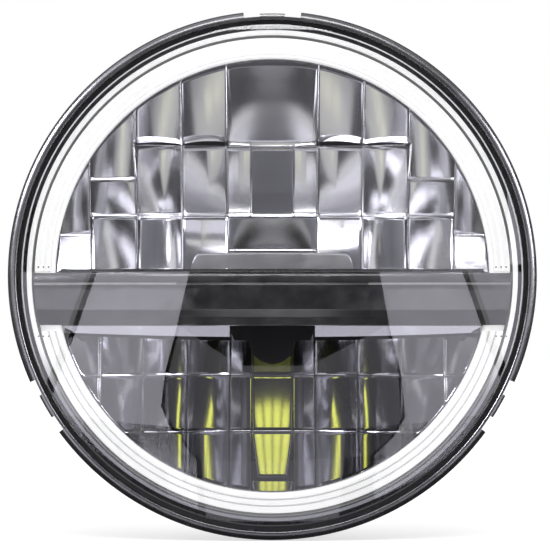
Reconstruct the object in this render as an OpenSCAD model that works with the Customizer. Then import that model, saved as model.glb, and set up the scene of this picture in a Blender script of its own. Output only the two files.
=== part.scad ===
// Round motorcycle headlight, seven inch sealed size, with a halo and two LED reflectors.
// Millimetres. +X is right, +Y points to the rear and +Z is up. The lamp's axis is Y, and
// the origin is on that axis in the plane of the rim's rear seating face.

/* [Rim] */
// Outer diameter of the rim
rim_d = 178; // [170:0.5:186]
// Length of the rim along the axis
rim_len = 9; // [8:0.5:12]
// Chamfer on the rim's outer front edge
rim_chamfer = 1.2; // [0.4:0.1:2]
// Width of the lip outside the lens groove
lip_w = 3; // [2.5:0.1:4]
// Depth of the lens groove behind the rim's front
groove_depth = 6.4; // [5.5:0.1:6.8]
// Inner diameter of the rear seating face
seat_inner_d = 169; // [168:0.5:171]
// Number of locating notches around the rim
notch_count = 3; // [2:1:4]
// Angle that one notch spans
notch_angle = 12.5; // [9:0.5:16]
// Angle that the lug in the notch spans
lug_angle = 5.5; // [3:0.5:7]
// Depth of the notch into the rim
notch_depth = 1.9; // [1:0.1:2.2]
// Depth of the lug's top below the rim
lug_drop = 0.9; // [0.3:0.1:0.9]

/* [Lens] */
// Radial gap between the lip and the lens
lens_gap = 1.6; // [0.8:0.1:2]
// Thickness of the lens dome
lens_t = 2.5; // [2:0.1:3]
// Thickness of the lens skirt
skirt_t = 1.4; // [1.2:0.1:2]
// Spherical radius of the lens's outer face
dome_r = 291.7; // [260:5:320]
// Height of the lens edge in front of the rim
lens_proud = 0.5; // [0:0.1:1.5]
// Thickness of the silicone bead under the lens
bead_t = 1; // [0.6:0.1:1.4]

/* [Halo] */
// Height of the tray's floor
tray_floor_t = 1.7; // [1.4:0.1:2]
// Width of the tray's bright outer lip
tray_lip_w = 1.7; // [1.4:0.1:2]
// Dark gap between the lip and the light guide
guide_gap = 1; // [0.6:0.1:1.4]
// Radial width of the light guides
guide_w = 5.8; // [5:0.1:6.4]
// Thickness of the light guides
guide_t = 5.2; // [4.6:0.1:5.4]
// Depth of the two ridge lines in the guides
ridge_depth = 0.4; // [0.2:0.1:0.6]
// Thickness of the tray's inner wall
tray_wall_t = 0.7; // [0.6:0.1:1]
// Size of one halo LED
halo_led_w = 1.1; // [0.8:0.1:1.3]
// Distance between the halo's LEDs
halo_led_pitch = 1.5; // [1.4:0.1:1.7]

/* [Crossbar] */
// Height of the bar's top edge above the axis
bar_top = 0.9; // [0:0.1:2]
// Height of the bar
bar_h = 17.6; // [16:0.2:19]
// Wall of the bar
bar_wall = 2; // [1.6:0.1:2.4]
// Gap between the lens and the bar
bar_lens_gap = 2; // [1.4:0.1:2.4]
// Height of the set-back strip along the top edge
top_strip_h = 2.7; // [2:0.1:3.5]
// Height of the set-back strip along the bottom edge
bottom_strip_h = 2; // [1.5:0.1:3]
// Depth of the set-back strips
strip_depth = 0.8; // [0.4:0.1:1]
// Depth of the bar's top and bottom walls behind the seat
bar_reach = 2.5; // [1:0.1:2.6]

/* [Reflectors] */
// Thickness of the reflector shells
shell_t = 2.5; // [2:0.1:2.8]
// Focal length of the upper reflector
upper_focus = 30; // [29:0.25:31]
// Depth of the upper reflector's vertex
upper_vertex = 42.9; // [42:0.1:43.3]
// Depth of the lower reflector's vertex
lower_vertex = 35; // [34:0.25:37]
// Focal length of the lower reflector across
lower_focus_x = 36.4; // [35:0.2:38]
// Focal length of the lower reflector up and down
lower_focus_z = 20; // [19.4:0.2:21]
// Width of the upper reflector's cells
upper_cell_w = 15.4; // [14:0.1:16]
// Width of the lower reflector's cells
lower_cell_w = 14.6; // [14:0.1:16]
// Heights of the upper cell rows above the bar
upper_row_1 = 19.5; // [18:0.5:21]
// Height of the extra row in the outer columns
upper_row_2 = 32.6; // [30:0.2:35]
// Height of the top row
upper_row_3 = 43.6; // [41:0.2:46]
// Height of the first lower row below the bar
lower_row_1 = 17.6; // [16:0.2:19]
// Height of the second lower row below the bar
lower_row_2 = 36.6; // [34:0.2:39]
// Height of the small middle cell above the bar
upper_row_mid = 7.7; // [6.5:0.1:9]
// Height of the lower reflector's front lip at its ends
lip_end_h = 1.7; // [1:0.1:2.4]
// Height of the lower reflector's front lip in its middle
lip_mid_h = 3.9; // [3:0.1:4.6]
// Thickness of the lip
lip_t = 1.5; // [1:0.1:2]
// Thickness of the flat plates beside the LED shelf
flat_t = 1.2; // [0.8:0.1:1.6]
// Rise of each cell's flute
flute_rise = 0.9; // [0.4:0.1:1.2]
// Tilt of each cell, which makes the step between rows
row_tilt = 0.5; // [0.2:0.1:0.7]

/* [Housing] */
// Wall of the cast bowl
wall = 3; // [2.4:0.1:3.4]
// Inner diameter of the bowl at its mouth
bowl_mouth_d = 154; // [152:0.5:156]
// Inner diameter of the bowl at its shoulder
shoulder_d = 144; // [142:0.5:148]
// Depth of the shoulder
shoulder_y = 10; // [8:0.5:12]
// Inner diameter of the bowl at its heel
heel_d = 104; // [100:1:112]
// Depth of the heel
heel_y = 34; // [32:0.5:36]
// Inner diameter of the bowl at its base
base_d = 92; // [88:1:96]
// Inner depth of the bowl
bowl_depth = 49; // [48.5:0.1:52]
// Number of cooling fins
fin_count = 36; // [24:2:40]
// Thickness of one fin
fin_t = 2; // [1.6:0.1:2.6]
// Outer diameter over the fins
fin_d = 166; // [162:1:168]
// Depth of the fins' square shoulder
fin_shoulder_y = 26; // [22:1:30]
// Outer diameter of the fins at their rear
fin_rear_d = 124; // [116:1:132]

/* [Driver chamber] */
// Inner diameter of the driver chamber
chamber_d = 72; // [71:0.5:74]
// Wall of the driver chamber
chamber_wall = 4; // [3:0.2:5]
// Depth of the driver chamber behind the bowl's base
chamber_depth = 11; // [10.5:0.1:13]
// Thickness of the rear cover's gasket
gasket_t = 1; // [0.6:0.1:1.4]
// Width of the rear cover's gasket
gasket_w = 1.9; // [1.2:0.1:2]
// Thickness of the rear cover
cover_t = 2.5; // [2:0.1:3.5]
// Pitch radius of the rear cover's screws
cover_screw_pitch = 43; // [42.5:0.1:45]
// Shank radius of the rear cover's screws
cover_screw_r = 2; // [1.5:0.1:2.2]
// Radius of the cover screw bosses
cover_boss_r = 4.5; // [4:0.1:5]
// Height of the board's stand-offs
standoff_h = 3.5; // [3.2:0.1:4.5]
// Diameter of the driver board
board_d = 67; // [66:0.5:69]
// Thickness of the circuit boards
board_t = 1.6; // [1:0.1:2]
// Shank radius of the small screws
small_screw_r = 1.4; // [1:0.1:1.6]

/* [Driver parts] */
// Radius of an inductor
inductor_r = 6; // [5:0.1:6.5]
// Height of an inductor
inductor_h = 4.5; // [3:0.1:5.5]
// Radius of a capacitor
capacitor_r = 3; // [2:0.1:3.5]
// Height of a capacitor
capacitor_h = 5; // [3:0.1:5.5]
// Side of a chip
chip_w = 7; // [5:0.1:8]
// Height of a chip
chip_h = 1.4; // [0.8:0.1:2]
// Distance of the inductors to the side of the axis
inductor_x = 20; // [19:0.1:22]
// Height of the inductors above the axis
inductor_z = 9; // [8:0.1:10]
// Distance of the capacitors to the side of the axis
capacitor_x = 19.5; // [18:0.1:21]
// Height of the upper capacitors below the axis
capacitor_drop = 8; // [7:0.1:9]
// Distance between the capacitors
capacitor_pitch = 8; // [7.5:0.1:9]
// Distance of the two lower chips to the side of the axis
chip_x = 7; // [6:0.1:8]
// Height of the lower chips below the axis
chip_drop = 16; // [14:0.1:18]
// Height of the upper chip above the axis
chip_rise = 18; // [16:0.1:20]

/* [LED shelf] */
// Width of the shelf
shelf_w = 48; // [42:1:50]
// Depth of the shelf's front edge
shelf_front = 6; // [5:0.5:8]
// Thickness of the shelf's rear flange
flange_t = 2.4; // [2:0.1:2.8]
// Width of the shelf's rear flange
flange_w = 52; // [50:0.5:53]
// Thickness of the thermal pads
pad_t = 0.5; // [0.3:0.1:0.8]
// How far a thermal pad's edge lies inside its board's edge
pad_inset = 1; // [0.5:0.1:2]
// Width of the LED boards
led_board_w = 26; // [22:1:30]
// Depth of the LED boards from front to back
led_board_l = 21; // [18:1:24]
// Side of one beam LED
led_w = 2; // [1.6:0.1:2.4]
// Height of one beam LED
led_h = 0.8; // [0.6:0.1:1]
// Pitch of the beam LEDs
led_pitch = 2.6; // [2.5:0.1:3]
// Distance of the low beam LEDs behind the upper reflector's focus
low_led_back = 3; // [2:0.1:4]
// Distance from an LED board's front edge to its LEDs
led_inset = 5.5; // [4.5:0.1:6.5]
// Width of the low beam cover at its base
cover_base_w = 55; // [50:1:58]
// Width of the low beam cover at its top
cover_top_w = 44; // [38:1:48]
// Height of the low beam cover above the bar
low_cover_h = 7; // [5:0.1:7.4]
// Thickness of the low beam cover
low_cover_t = 3.2; // [2.5:0.1:4]
// Number of LEDs in each beam
led_count = 4; // [3:1:5]
// Width of the black holder's top edge
holder_w = 29.6; // [26:0.2:34]
// Width of the black holder's bottom edge
holder_foot_w = 26; // [22:0.2:29]
// Width of the holder's neck
neck_w = 22; // [18:0.2:26]
// Radius of the holder's round nose
nose_r = 7.9; // [6:0.1:9]

/* [Connector] */
// Radius of the socket's flange
socket_flange_r = 17; // [16.5:0.1:19]
// Radius of the socket's spigot
spigot_r = 13; // [12.5:0.1:13.5]
// Thickness of the socket's flange
socket_flange_t = 1.7; // [1.5:0.1:2.5]
// Thickness of the ring seal under the flange
ring_t = 0.8; // [0.5:0.1:1.2]
// Outer width of the shroud
shroud_w = 29; // [28:0.5:31]
// Outer height of the shroud
shroud_h = 25; // [24.5:0.5:28]
// Wall of the shroud
shroud_wall = 2; // [1.5:0.1:2.4]
// Depth of the shroud
shroud_depth = 11; // [9:0.5:14]
// Width of one blade
blade_w = 8; // [7:0.1:8.4]
// Thickness of one blade
blade_t = 0.8; // [0.6:0.1:1]
// Distance between the two side blades
blade_gap = 17; // [15.5:0.5:18]
// Height of the top blade above the socket's centre
top_blade_z = 7.2; // [6.8:0.1:7.6]

/* [Hidden] */
$fn = 96;
// Clearance between pieces that sit in one another
fit = 0.3;
// Clearance of a screw in its hole
screw_fit = 0.15;
// Clearance of a blade in its slot
slot_fit = 0.1;
// How far a cutting shape runs past what it cuts
over = 1;

rim_r = rim_d / 2;
lip_in_r = rim_r - lip_w;
lens_r = lip_in_r - lens_gap;
pocket_r = lens_r - skirt_t;
rim_front = -rim_len;
groove_floor = rim_front + groove_depth;
bead_front = groove_floor - bead_t;
lens_edge_y = rim_front - lens_proud;
dome_y = lens_edge_y + sqrt(dome_r * dome_r - lens_r * lens_r);
inner_dome_r = dome_r - lens_t;

// Depth of a ball centred like the lens dome, at a radius from the axis
function depth_on_dome(ball_r, at_r) = dome_y - sqrt(ball_r * ball_r - at_r * at_r);

tray_r = pocket_r - fit;
tray_front = depth_on_dome(inner_dome_r, tray_r) + 1.2;
guide_r = tray_r - tray_lip_w - guide_gap;
guide_in_r = guide_r - guide_w;
tray_in_r = guide_in_r - tray_wall_t - fit;
ledge_y = tray_floor_t - 0.7;
tray_back = ledge_y - fit;
tray_floor = tray_back - tray_floor_t;
guide_back = tray_floor - fit;
guide_front = guide_back - guide_t;

bar_bottom = bar_top - bar_h;
bar_mid = bar_top - bar_h / 2;
bar_dome_r = inner_dome_r - bar_lens_gap;
bar_end_r = guide_r + fit;
bar_inner_dome_r = bar_dome_r - strip_depth - bar_wall;
tray_wall_front = depth_on_dome(bar_inner_dome_r, tray_in_r + tray_wall_t) + fit;

reflector_r = tray_in_r - fit;
reflector_reach = reflector_r + 2;
upper_edge = bar_top + fit;
lip_top = bar_bottom - fit;
lower_edge = lip_top - lip_end_h;
// Half the draft gap between two cells
draft = 0.15;

shelf_top = bar_top - 0.9 - led_h - board_t - pad_t;
shelf_bottom = lower_edge + led_h + board_t + pad_t + 0.1;
low_led_y = upper_vertex - upper_focus + low_led_back;
high_led_y = lower_vertex - lower_focus_z;

base_back = bowl_depth + wall;
chamber_r = chamber_d / 2;
turret_r = chamber_r + chamber_wall;
turret_back = base_back + chamber_depth;
cover_front = turret_back + gasket_t;
cover_back = cover_front + cover_t;
board_front = base_back + standoff_h;
board_back = board_front + board_t;
cover_r = cover_screw_pitch + cover_boss_r;
plateau_r = cover_screw_pitch - cover_boss_r;
gasket_r = chamber_r + fit + gasket_w;
socket_front = cover_back + ring_t;
shroud_front = socket_front + socket_flange_t;
shroud_back = shroud_front + shroud_depth;
blade_back = shroud_back - 1.5;
lead_r = 0.8;
lead_pitch = 2.6;
lead_hole_r = 3.5;

// Places of the fixings, as [x, z]
upper_boss_x = 29;
upper_boss_z = 16;
lower_boss_x = 16;
lower_boss_z = -29;
upper_bosses = [[-upper_boss_x, upper_boss_z], [upper_boss_x, upper_boss_z]];
lower_bosses = [[-lower_boss_x, lower_boss_z], [lower_boss_x, lower_boss_z]];
shelf_screw_x = 14;
shelf_screws_at = [[-shelf_screw_x, bar_mid], [shelf_screw_x, bar_mid]];
standoff_x = 10;
standoff_z = 27;
standoffs_at = [for (sx = [-1, 1], sz = [-1, 1]) [sx * standoff_x, sz * standoff_z]];
lead_hole_x = chamber_r - lead_hole_r - 1.5;
vent_z = 28;

// The range that reaches half to each side of a middle
function span(middle, half) = [middle - half, middle + half];

// A solid turned about the lamp's axis, from points given as [radius, y]. Angles run
// anticlockwise from +X, as seen from the front.
module turned(points, start = 0, angle = 360) {
    rotate([90, 0, 0])
        rotate_extrude(angle = angle, start = start)
            polygon([for (p = points) [p[0], -p[1]]]);
}

// A round bar or hole along the axis at [x, z], from one depth to another
module round_y(at, r, from, to) {
    translate([at[0], to, at[1]])
        rotate([90, 0, 0])
            cylinder(r = r, h = to - from);
}

// A box given by its ranges along x, y and z
module box(x, y, z) {
    translate([x[0], y[0], z[0]])
        cube([x[1] - x[0], y[1] - y[0], z[1] - z[0]]);
}

// A ball centred where the lens dome has its centre
module dome(r) {
    translate([0, dome_y, 0])
        sphere(r = r, $fn = 360);
}

// A rectangle with rounded corners, in the XZ plane, from one depth to another
module rounded_block(w, h, r, from, to) {
    translate([0, to, 0])
        rotate([90, 0, 0])
            linear_extrude(height = to - from) {
                square([w - 2 * r, h], center = true);
                square([w, h - 2 * r], center = true);
                for (sx = [-1, 1], sz = [-1, 1])
                    translate([sx * (w / 2 - r), sz * (h / 2 - r)])
                        circle(r = r, $fn = 32);
            }
}

// A cap screw along +Y, with its head's seat at y
module cap_screw(at, r, y, length, head_h) {
    difference() {
        union() {
            round_y(at, r, y - length, y);
            round_y(at, 1.8 * r, y, y + head_h);
        }
        round_y(at, r, y + 0.4 * head_h, y + head_h + over, $fn = 6);
    }
}

module housing() {
    color("dimgray")
    difference() {
        union() {
            casting();
            for (i = [0 : fin_count - 1])
                rotate([0, -360 * (i + 0.5) / fin_count, 0])
                    fin();
            turned([[chamber_r, base_back - over], [turret_r, base_back - over],
                [turret_r, turret_back], [chamber_r, turret_back]]);
            for (a = [45 : 90 : 315])
                round_y(cover_screw_pitch * [cos(a), sin(a)], cover_boss_r,
                    base_back - over, cover_front);
            for (p = standoffs_at)
                round_y(p, 3, base_back - over, board_front);
        }
        for (i = [0 : notch_count - 1])
            notch(90 + 360 * i / notch_count);
        for (a = [45 : 90 : 315])
            round_y(cover_screw_pitch * [cos(a), sin(a)], cover_screw_r + screw_fit,
                cover_front - 9, cover_front + over);
        for (p = standoffs_at)
            round_y(p, small_screw_r + screw_fit, base_back - 1.5, board_front + over);
        for (p = concat(upper_bosses, lower_bosses))
            round_y(p, small_screw_r + screw_fit, bowl_depth - over, base_back + over);
        for (p = shelf_screws_at)
            round_y(p, cover_screw_r + screw_fit, bowl_depth - over, base_back + over);
        for (sx = [-1, 1])
            round_y([sx * lead_hole_x, bar_mid], lead_hole_r, bowl_depth - over, base_back + over);
    }
}

// The casting's turned section: rim, lens groove, tray ledge, bowl and base
module casting() {
    inner_edge = 0.6;
    turned([
        [rim_r, 0],
        [rim_r, rim_front + rim_chamfer],
        [rim_r - rim_chamfer, rim_front],
        [lip_in_r + inner_edge, rim_front],
        [lip_in_r, rim_front + inner_edge],
        [lip_in_r, groove_floor],
        [pocket_r, groove_floor],
        [pocket_r, ledge_y],
        [bowl_mouth_d / 2, ledge_y],
        [shoulder_d / 2, shoulder_y],
        [heel_d / 2, heel_y],
        [base_d / 2, bowl_depth],
        [0, bowl_depth],
        [0, base_back],
        [base_d / 2 + wall, base_back],
        [heel_d / 2 + wall + 1, heel_y + 1],
        [shoulder_d / 2 + wall + 1, shoulder_y + 2],
        [seat_inner_d / 2, ledge_y + wall],
        [seat_inner_d / 2, 0]
    ]);
}

// One radial cooling fin, in the plane of +X
module fin() {
    sunk = wall / 2;
    translate([0, 0, -fin_t / 2])
        linear_extrude(height = fin_t)
            polygon([
                [pocket_r - 1, ledge_y + sunk],
                [fin_d / 2, ledge_y + wall + 1.5],
                [fin_d / 2, fin_shoulder_y],
                [fin_rear_d / 2, turret_back - 8],
                [turret_r + 2, turret_back - 5],
                [chamber_r + 1, turret_back - 5],
                [chamber_r + 1, bowl_depth + sunk],
                [base_d / 2 + sunk, bowl_depth],
                [heel_d / 2 + sunk, heel_y],
                [shoulder_d / 2 + sunk, shoulder_y]
            ]);
}

// One locating notch in the rim, with a lower lug left standing in its middle
module notch(a) {
    side = (notch_angle - lug_angle) / 2;
    notch_cut(a - notch_angle / 2, side, notch_depth);
    notch_cut(a - lug_angle / 2, lug_angle, lug_drop);
    notch_cut(a + lug_angle / 2, side, notch_depth);
}

module notch_cut(start, angle, depth) {
    turned([[rim_r - depth, rim_front - over], [rim_r + over, rim_front - over],
        [rim_r + over, over], [rim_r - depth, over]], start, angle);
}

module lens() {
    color([0.85, 0.9, 0.95, 0.3])
    difference() {
        intersection() {
            dome(dome_r);
            round_y([0, 0], lens_r, lens_edge_y - 40, bead_front);
        }
        intersection() {
            dome(inner_dome_r);
            round_y([0, 0], pocket_r, lens_edge_y - 40, bead_front + over);
        }
    }
}

module lens_seal() {
    color("black")
    turned([[pocket_r, bead_front], [lip_in_r, bead_front],
        [lip_in_r, groove_floor], [pocket_r, groove_floor]]);
}

module halo_tray() {
    color("lightgray")
    turned([
        [tray_r, tray_back],
        [tray_r, tray_front],
        [tray_r - tray_lip_w, tray_front],
        [tray_r - tray_lip_w, tray_floor],
        [tray_in_r + tray_wall_t, tray_floor],
        [tray_in_r + tray_wall_t, tray_wall_front],
        [tray_in_r, tray_wall_front],
        [tray_in_r, tray_back]
    ]);
}

// The light guide's whole ring, with two ridge lines turned into its face
module guide_ring() {
    ridge_w = 0.5;
    outer_ridge = guide_r - 0.41 * guide_w;
    inner_ridge = guide_r - 0.79 * guide_w;
    turned([
        [guide_in_r, guide_back],
        [guide_in_r, guide_front],
        [inner_ridge - ridge_w, guide_front],
        [inner_ridge, guide_front + ridge_depth],
        [inner_ridge + ridge_w, guide_front],
        [outer_ridge - ridge_w, guide_front],
        [outer_ridge, guide_front + ridge_depth],
        [outer_ridge + ridge_w, guide_front],
        [guide_r, guide_front],
        [guide_r, guide_back]
    ]);
}

module upper_light_guide() {
    color("white")
    difference() {
        guide_ring();
        box([-rim_r, rim_r], [guide_front - over, guide_back + over], [-rim_r, bar_top + fit]);
    }
}

module lower_light_guide() {
    color("white")
    difference() {
        guide_ring();
        box([-rim_r, rim_r], [guide_front - over, guide_back + over], [lower_edge, rim_r]);
    }
}

halo_board_z = [bar_bottom + bar_wall, bar_top - bar_wall];

module halo_boards() {
    color("seagreen")
    for (sx = [-1, 1])
        intersection() {
            turned([[guide_in_r + fit, tray_floor - 1], [guide_r - fit, tray_floor - 1],
                [guide_r - fit, tray_floor], [guide_in_r + fit, tray_floor]]);
            box([sx > 0 ? 0 : -rim_r, sx > 0 ? rim_r : 0], [tray_floor - 2, tray_floor + 1],
                halo_board_z);
        }
}

module halo_leds() {
    middle_r = guide_in_r + guide_w / 2;
    color("khaki")
    for (sx = [-1, 1], z = [halo_board_z[1] - halo_led_w, halo_board_z[0]], k = [-1, 0, 1])
        let (middle_x = sqrt(pow(middle_r, 2) - pow(z + halo_led_w / 2, 2)))
            box(span(sx * (middle_x + halo_led_pitch * k), halo_led_w / 2),
                [tray_floor - 1 - halo_led_w, tray_floor - 1], [z, z + halo_led_w]);
}

// The bar's outer body, following the lens dome at a distance
module bar_body(inset, z_from, z_to) {
    back = inset > strip_depth ? bar_reach + over : bar_reach;
    intersection() {
        dome(bar_dome_r - inset);
        box([-rim_r, rim_r], [-30, back], [z_from, z_to]);
        round_y([0, 0], bar_end_r, -30, bar_reach + over);
    }
}

module crossbar() {
    color([0.12, 0.12, 0.13])
    difference() {
        union() {
            bar_body(0, bar_bottom + bottom_strip_h, bar_top - top_strip_h);
            bar_body(strip_depth, bar_bottom, bar_top);
        }
        bar_body(bar_dome_r - bar_inner_dome_r, bar_bottom + bar_wall, bar_top - bar_wall);
        // Outside the tray's inner wall only the front skin is left
        difference() {
            intersection() {
                dome(bar_inner_dome_r);
                box([-rim_r, rim_r], [-30, bar_reach + over], [bar_bottom - over, bar_top + over]);
            }
            round_y([0, 0], reflector_r, -30, bar_reach + 2 * over);
        }
    }
}

// Depth of the upper reflector's face before its cells are cut
function upper_face(x, z) = upper_vertex - (x * x + z * z) / (4 * upper_focus);

// Depth of the lower reflector's face before its cells are cut
function lower_face(x, z) = lower_vertex - x * x / (4 * lower_focus_x)
    - pow(z - lower_edge, 2) / (4 * lower_focus_z);

function cell_of(edges, v, i = 0) =
    i >= len(edges) - 2 || v < edges[i + 1] ? i : cell_of(edges, v, i + 1);

// Places across one row of cells: four in each cell, kept a draft gap from its edges
function samples(edges, steps) = [
    for (i = [0 : len(edges) - 2], k = [0 : steps])
        edges[i] + draft + (edges[i + 1] - edges[i] - 2 * draft) * k / steps
];

// Place within a cell, from -1 at one edge to 1 at the other
function within(edges, v) =
    let (i = cell_of(edges, v))
    (2 * v - edges[i] - edges[i + 1]) / (edges[i + 1] - edges[i]);

function fluted(x, z, columns, rows, face) =
    face - flute_rise * (1 - pow(within(columns, x), 2)) - row_tilt * within(rows, z);

// A shell between a grid of front points and the same grid moved back
module shell(front, rows) {
    columns = len(front) / rows;
    n = len(front);
    points = concat(front, [for (p = front) p + [0, shell_t, 0]]);
    front_faces = [
        for (i = [0 : columns - 2], j = [0 : rows - 2], half = [0, 1])
            let (a = i * rows + j, b = a + rows)
            half == 0 ? [a, a + 1, b + 1] : [a, b + 1, b]
    ];
    back_faces = [for (f = front_faces) [f[0] + n, f[2] + n, f[1] + n]];
    side_faces = [
        for (j = [0 : rows - 2], right = [0, 1])
            let (a = right * (columns - 1) * rows + j)
            right == 0 ? [a + 1, a, a + n, a + n + 1] : [a, a + 1, a + n + 1, a + n]
    ];
    end_faces = [
        for (i = [0 : columns - 2], top = [0, 1])
            let (a = i * rows + top * (rows - 1), b = a + rows)
            top == 0 ? [a, b, b + n, a + n] : [b, a, a + n, b + n]
    ];
    polyhedron(points, concat(front_faces, back_faces, side_faces, end_faces));
}

// Column edges from one side of a reflector to the other: the middle cell is double
function column_edges(w) = [
    -reflector_reach, -4 * w, -3 * w, -2 * w, -w, w, 2 * w, 3 * w, 4 * w, reflector_reach
];

// The flat plate that runs from a reflector's face to the bar, over or under the shelf
module reflector_flat(vertex, focus, z, window_x, window_y) {
    front = bar_reach + fit;
    sunk = 1;
    reach = sqrt((vertex + sunk - front) * 4 * focus);
    steps = 12;
    translate([0, 0, z])
        linear_extrude(height = flat_t)
            difference() {
                polygon([
                    for (i = [-steps : steps])
                        let (x = reach * i / steps)
                        [x, vertex + sunk - x * x / (4 * focus)]
                ]);
                translate([-window_x, window_y[0]])
                    square([2 * window_x, window_y[1] - window_y[0]]);
            }
}

// The lip in front of the lower reflector, whose lower edge bows down in the middle
module reflector_lip() {
    front = bar_reach + fit;
    steps = 16;
    half = reflector_r;
    translate([0, front + lip_t, 0])
        rotate([90, 0, 0])
            linear_extrude(height = lip_t)
                polygon(concat(
                    [[half, lip_top], [-half, lip_top]],
                    [for (i = [-steps : steps])
                        let (t = i / steps)
                        [half * t, lip_top - lip_end_h - flat_t - (lip_mid_h - lip_end_h) * (1 - t * t)]]
                ));
}

module upper_reflector() {
    columns = column_edges(upper_cell_w);
    inner_rows = [upper_edge, bar_top + upper_row_1, bar_top + upper_row_3, reflector_reach];
    outer_rows = [upper_edge, bar_top + upper_row_1, bar_top + upper_row_2,
        bar_top + upper_row_3, reflector_reach];
    middle_rows = [upper_edge, bar_top + upper_row_mid, bar_top + upper_row_1,
        bar_top + upper_row_3, reflector_reach];
    all_rows = [upper_edge, bar_top + upper_row_mid, bar_top + upper_row_1,
        bar_top + upper_row_2, bar_top + upper_row_3, reflector_reach];
    xs = samples(columns, 3);
    zs = samples(all_rows, 3);
    front = [
        for (x = xs, z = zs)
            let (rows = abs(x) < upper_cell_w ? middle_rows
                : abs(x) < 2 * upper_cell_w ? inner_rows : outer_rows)
            [x, fluted(x, z, columns, rows, upper_face(x, z)), z]
    ];
    color("silver")
    intersection() {
        difference() {
            union() {
                shell(front, len(zs));
                reflector_flat(upper_vertex, upper_focus, upper_edge,
                    led_count * led_pitch / 2 + 3, [low_led_y - 4, low_led_y + 4]);
                for (p = upper_bosses)
                    reflector_boss(p, upper_face(p[0] * 0.93, p[1] * 0.93));
            }
            for (p = upper_bosses)
                round_y(p, small_screw_r, bowl_depth - 8, bowl_depth + over);
        }
        round_y([0, 0], reflector_r, -60, bowl_depth + over);
    }
}

module lower_reflector() {
    columns = column_edges(lower_cell_w);
    rows = [-reflector_reach, bar_bottom - lower_row_2, bar_bottom - lower_row_1, lower_edge];
    xs = samples(columns, 3);
    zs = samples(rows, 3);
    front = [
        for (x = xs, z = zs)
            [x, fluted(x, z, columns, rows, lower_face(x, z)), z]
    ];
    color("silver")
    intersection() {
        difference() {
            union() {
                shell(front, len(zs));
                reflector_flat(lower_vertex, lower_focus_x, lower_edge - flat_t,
                    holder_w / 2 + fit, [0, high_led_y + 4]);
                difference() {
                    reflector_lip();
                    box(span(0, holder_w / 2 + fit), [0, high_led_y], [lower_edge - 10, bar_top]);
                }
                for (p = lower_bosses)
                    reflector_boss(p, lower_face(p[0] * 0.85, p[1] + 2.6));
            }
            for (p = lower_bosses)
                round_y(p, small_screw_r, bowl_depth - 8, bowl_depth + over);
        }
        round_y([0, 0], reflector_r, -60, bowl_depth + over);
    }
}

// The screw boss on a reflector's back, from its face to just short of the bowl's base
module reflector_boss(at, face) {
    round_y(at, 2 * small_screw_r, face, bowl_depth - fit);
}

module led_shelf() {
    color("lightslategray")
    difference() {
        union() {
            box([-shelf_w / 2, shelf_w / 2], [shelf_front, bowl_depth - flange_t / 2],
                [shelf_bottom, shelf_top]);
            box([-flange_w / 2, flange_w / 2], [bowl_depth - flange_t, bowl_depth],
                [shelf_bottom - 3, shelf_top + 3]);
        }
        for (p = shelf_screws_at)
            round_y(p, cover_screw_r, bowl_depth - 12, bowl_depth + over);
    }
}

low_board_y = [low_led_y - led_inset, low_led_y - led_inset + led_board_l];
high_board_y = [high_led_y - led_inset, high_led_y - led_inset + led_board_l];

module thermal_pads() {
    color("lightblue")
    for (pad = [[low_board_y, shelf_top], [high_board_y, shelf_bottom - pad_t]])
        box(span(0, led_board_w / 2 - pad_inset), pad[0] + [pad_inset, -pad_inset],
            [pad[1], pad[1] + pad_t]);
}

module low_beam_board() {
    color("ivory")
    box([-led_board_w / 2, led_board_w / 2], low_board_y,
        [shelf_top + pad_t, shelf_top + pad_t + board_t]);
}

module high_beam_board() {
    color("ivory")
    box([-led_board_w / 2, led_board_w / 2], high_board_y,
        [shelf_bottom - pad_t - board_t, shelf_bottom - pad_t]);
}

// A row of square LEDs, standing on the given height
module led_row(y, z) {
    for (k = [0 : led_count - 1])
        translate([(k - (led_count - 1) / 2) * led_pitch - led_w / 2, y - led_w / 2, z])
            cube([led_w, led_w, led_h]);
}

module low_beam_leds() {
    color("gold")
    led_row(low_led_y, shelf_top + pad_t + board_t);
}

module high_beam_leds() {
    color("gold")
    led_row(high_led_y, shelf_bottom - pad_t - board_t - led_h);
}

module high_beam_holder() {
    front = bar_reach + 0.5;
    back = high_board_y[0] - fit;
    step_z = lip_top - 5;
    color([0.07, 0.07, 0.07])
    union() {
        box(span(0, neck_w / 2), [front, shelf_front - fit], [step_z, shelf_bottom + 2]);
        box(span(0, neck_w / 2), [front, back], [step_z, shelf_bottom]);
        translate([0, back, 0])
            rotate([90, 0, 0])
                linear_extrude(height = back - front)
                    polygon([[-holder_w / 2, lip_top], [holder_w / 2, lip_top],
                        [holder_foot_w / 2, step_z], [-holder_foot_w / 2, step_z]]);
        intersection() {
            round_y([0, step_z], nose_r, front, back);
            box([-nose_r, nose_r], [front, back], [step_z - nose_r, step_z]);
        }
    }
}

// The grey cover in front of the low beam LEDs, standing on the upper reflector's flat
module low_beam_cover() {
    corner = 2.4;
    front = bar_reach + fit;
    foot = upper_edge + flat_t;
    top = bar_top + low_cover_h;
    color("slategray")
    translate([0, front + low_cover_t, 0])
        rotate([90, 0, 0])
            linear_extrude(height = low_cover_t) {
                polygon([
                    [-cover_base_w / 2, foot], [cover_base_w / 2, foot],
                    [cover_top_w / 2 + corner, top - corner], [cover_top_w / 2, top],
                    [-cover_top_w / 2, top], [-cover_top_w / 2 - corner, top - corner]
                ]);
                for (sx = [-1, 1])
                    translate([sx * cover_top_w / 2, top - corner])
                        circle(r = corner);
            }
}

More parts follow.
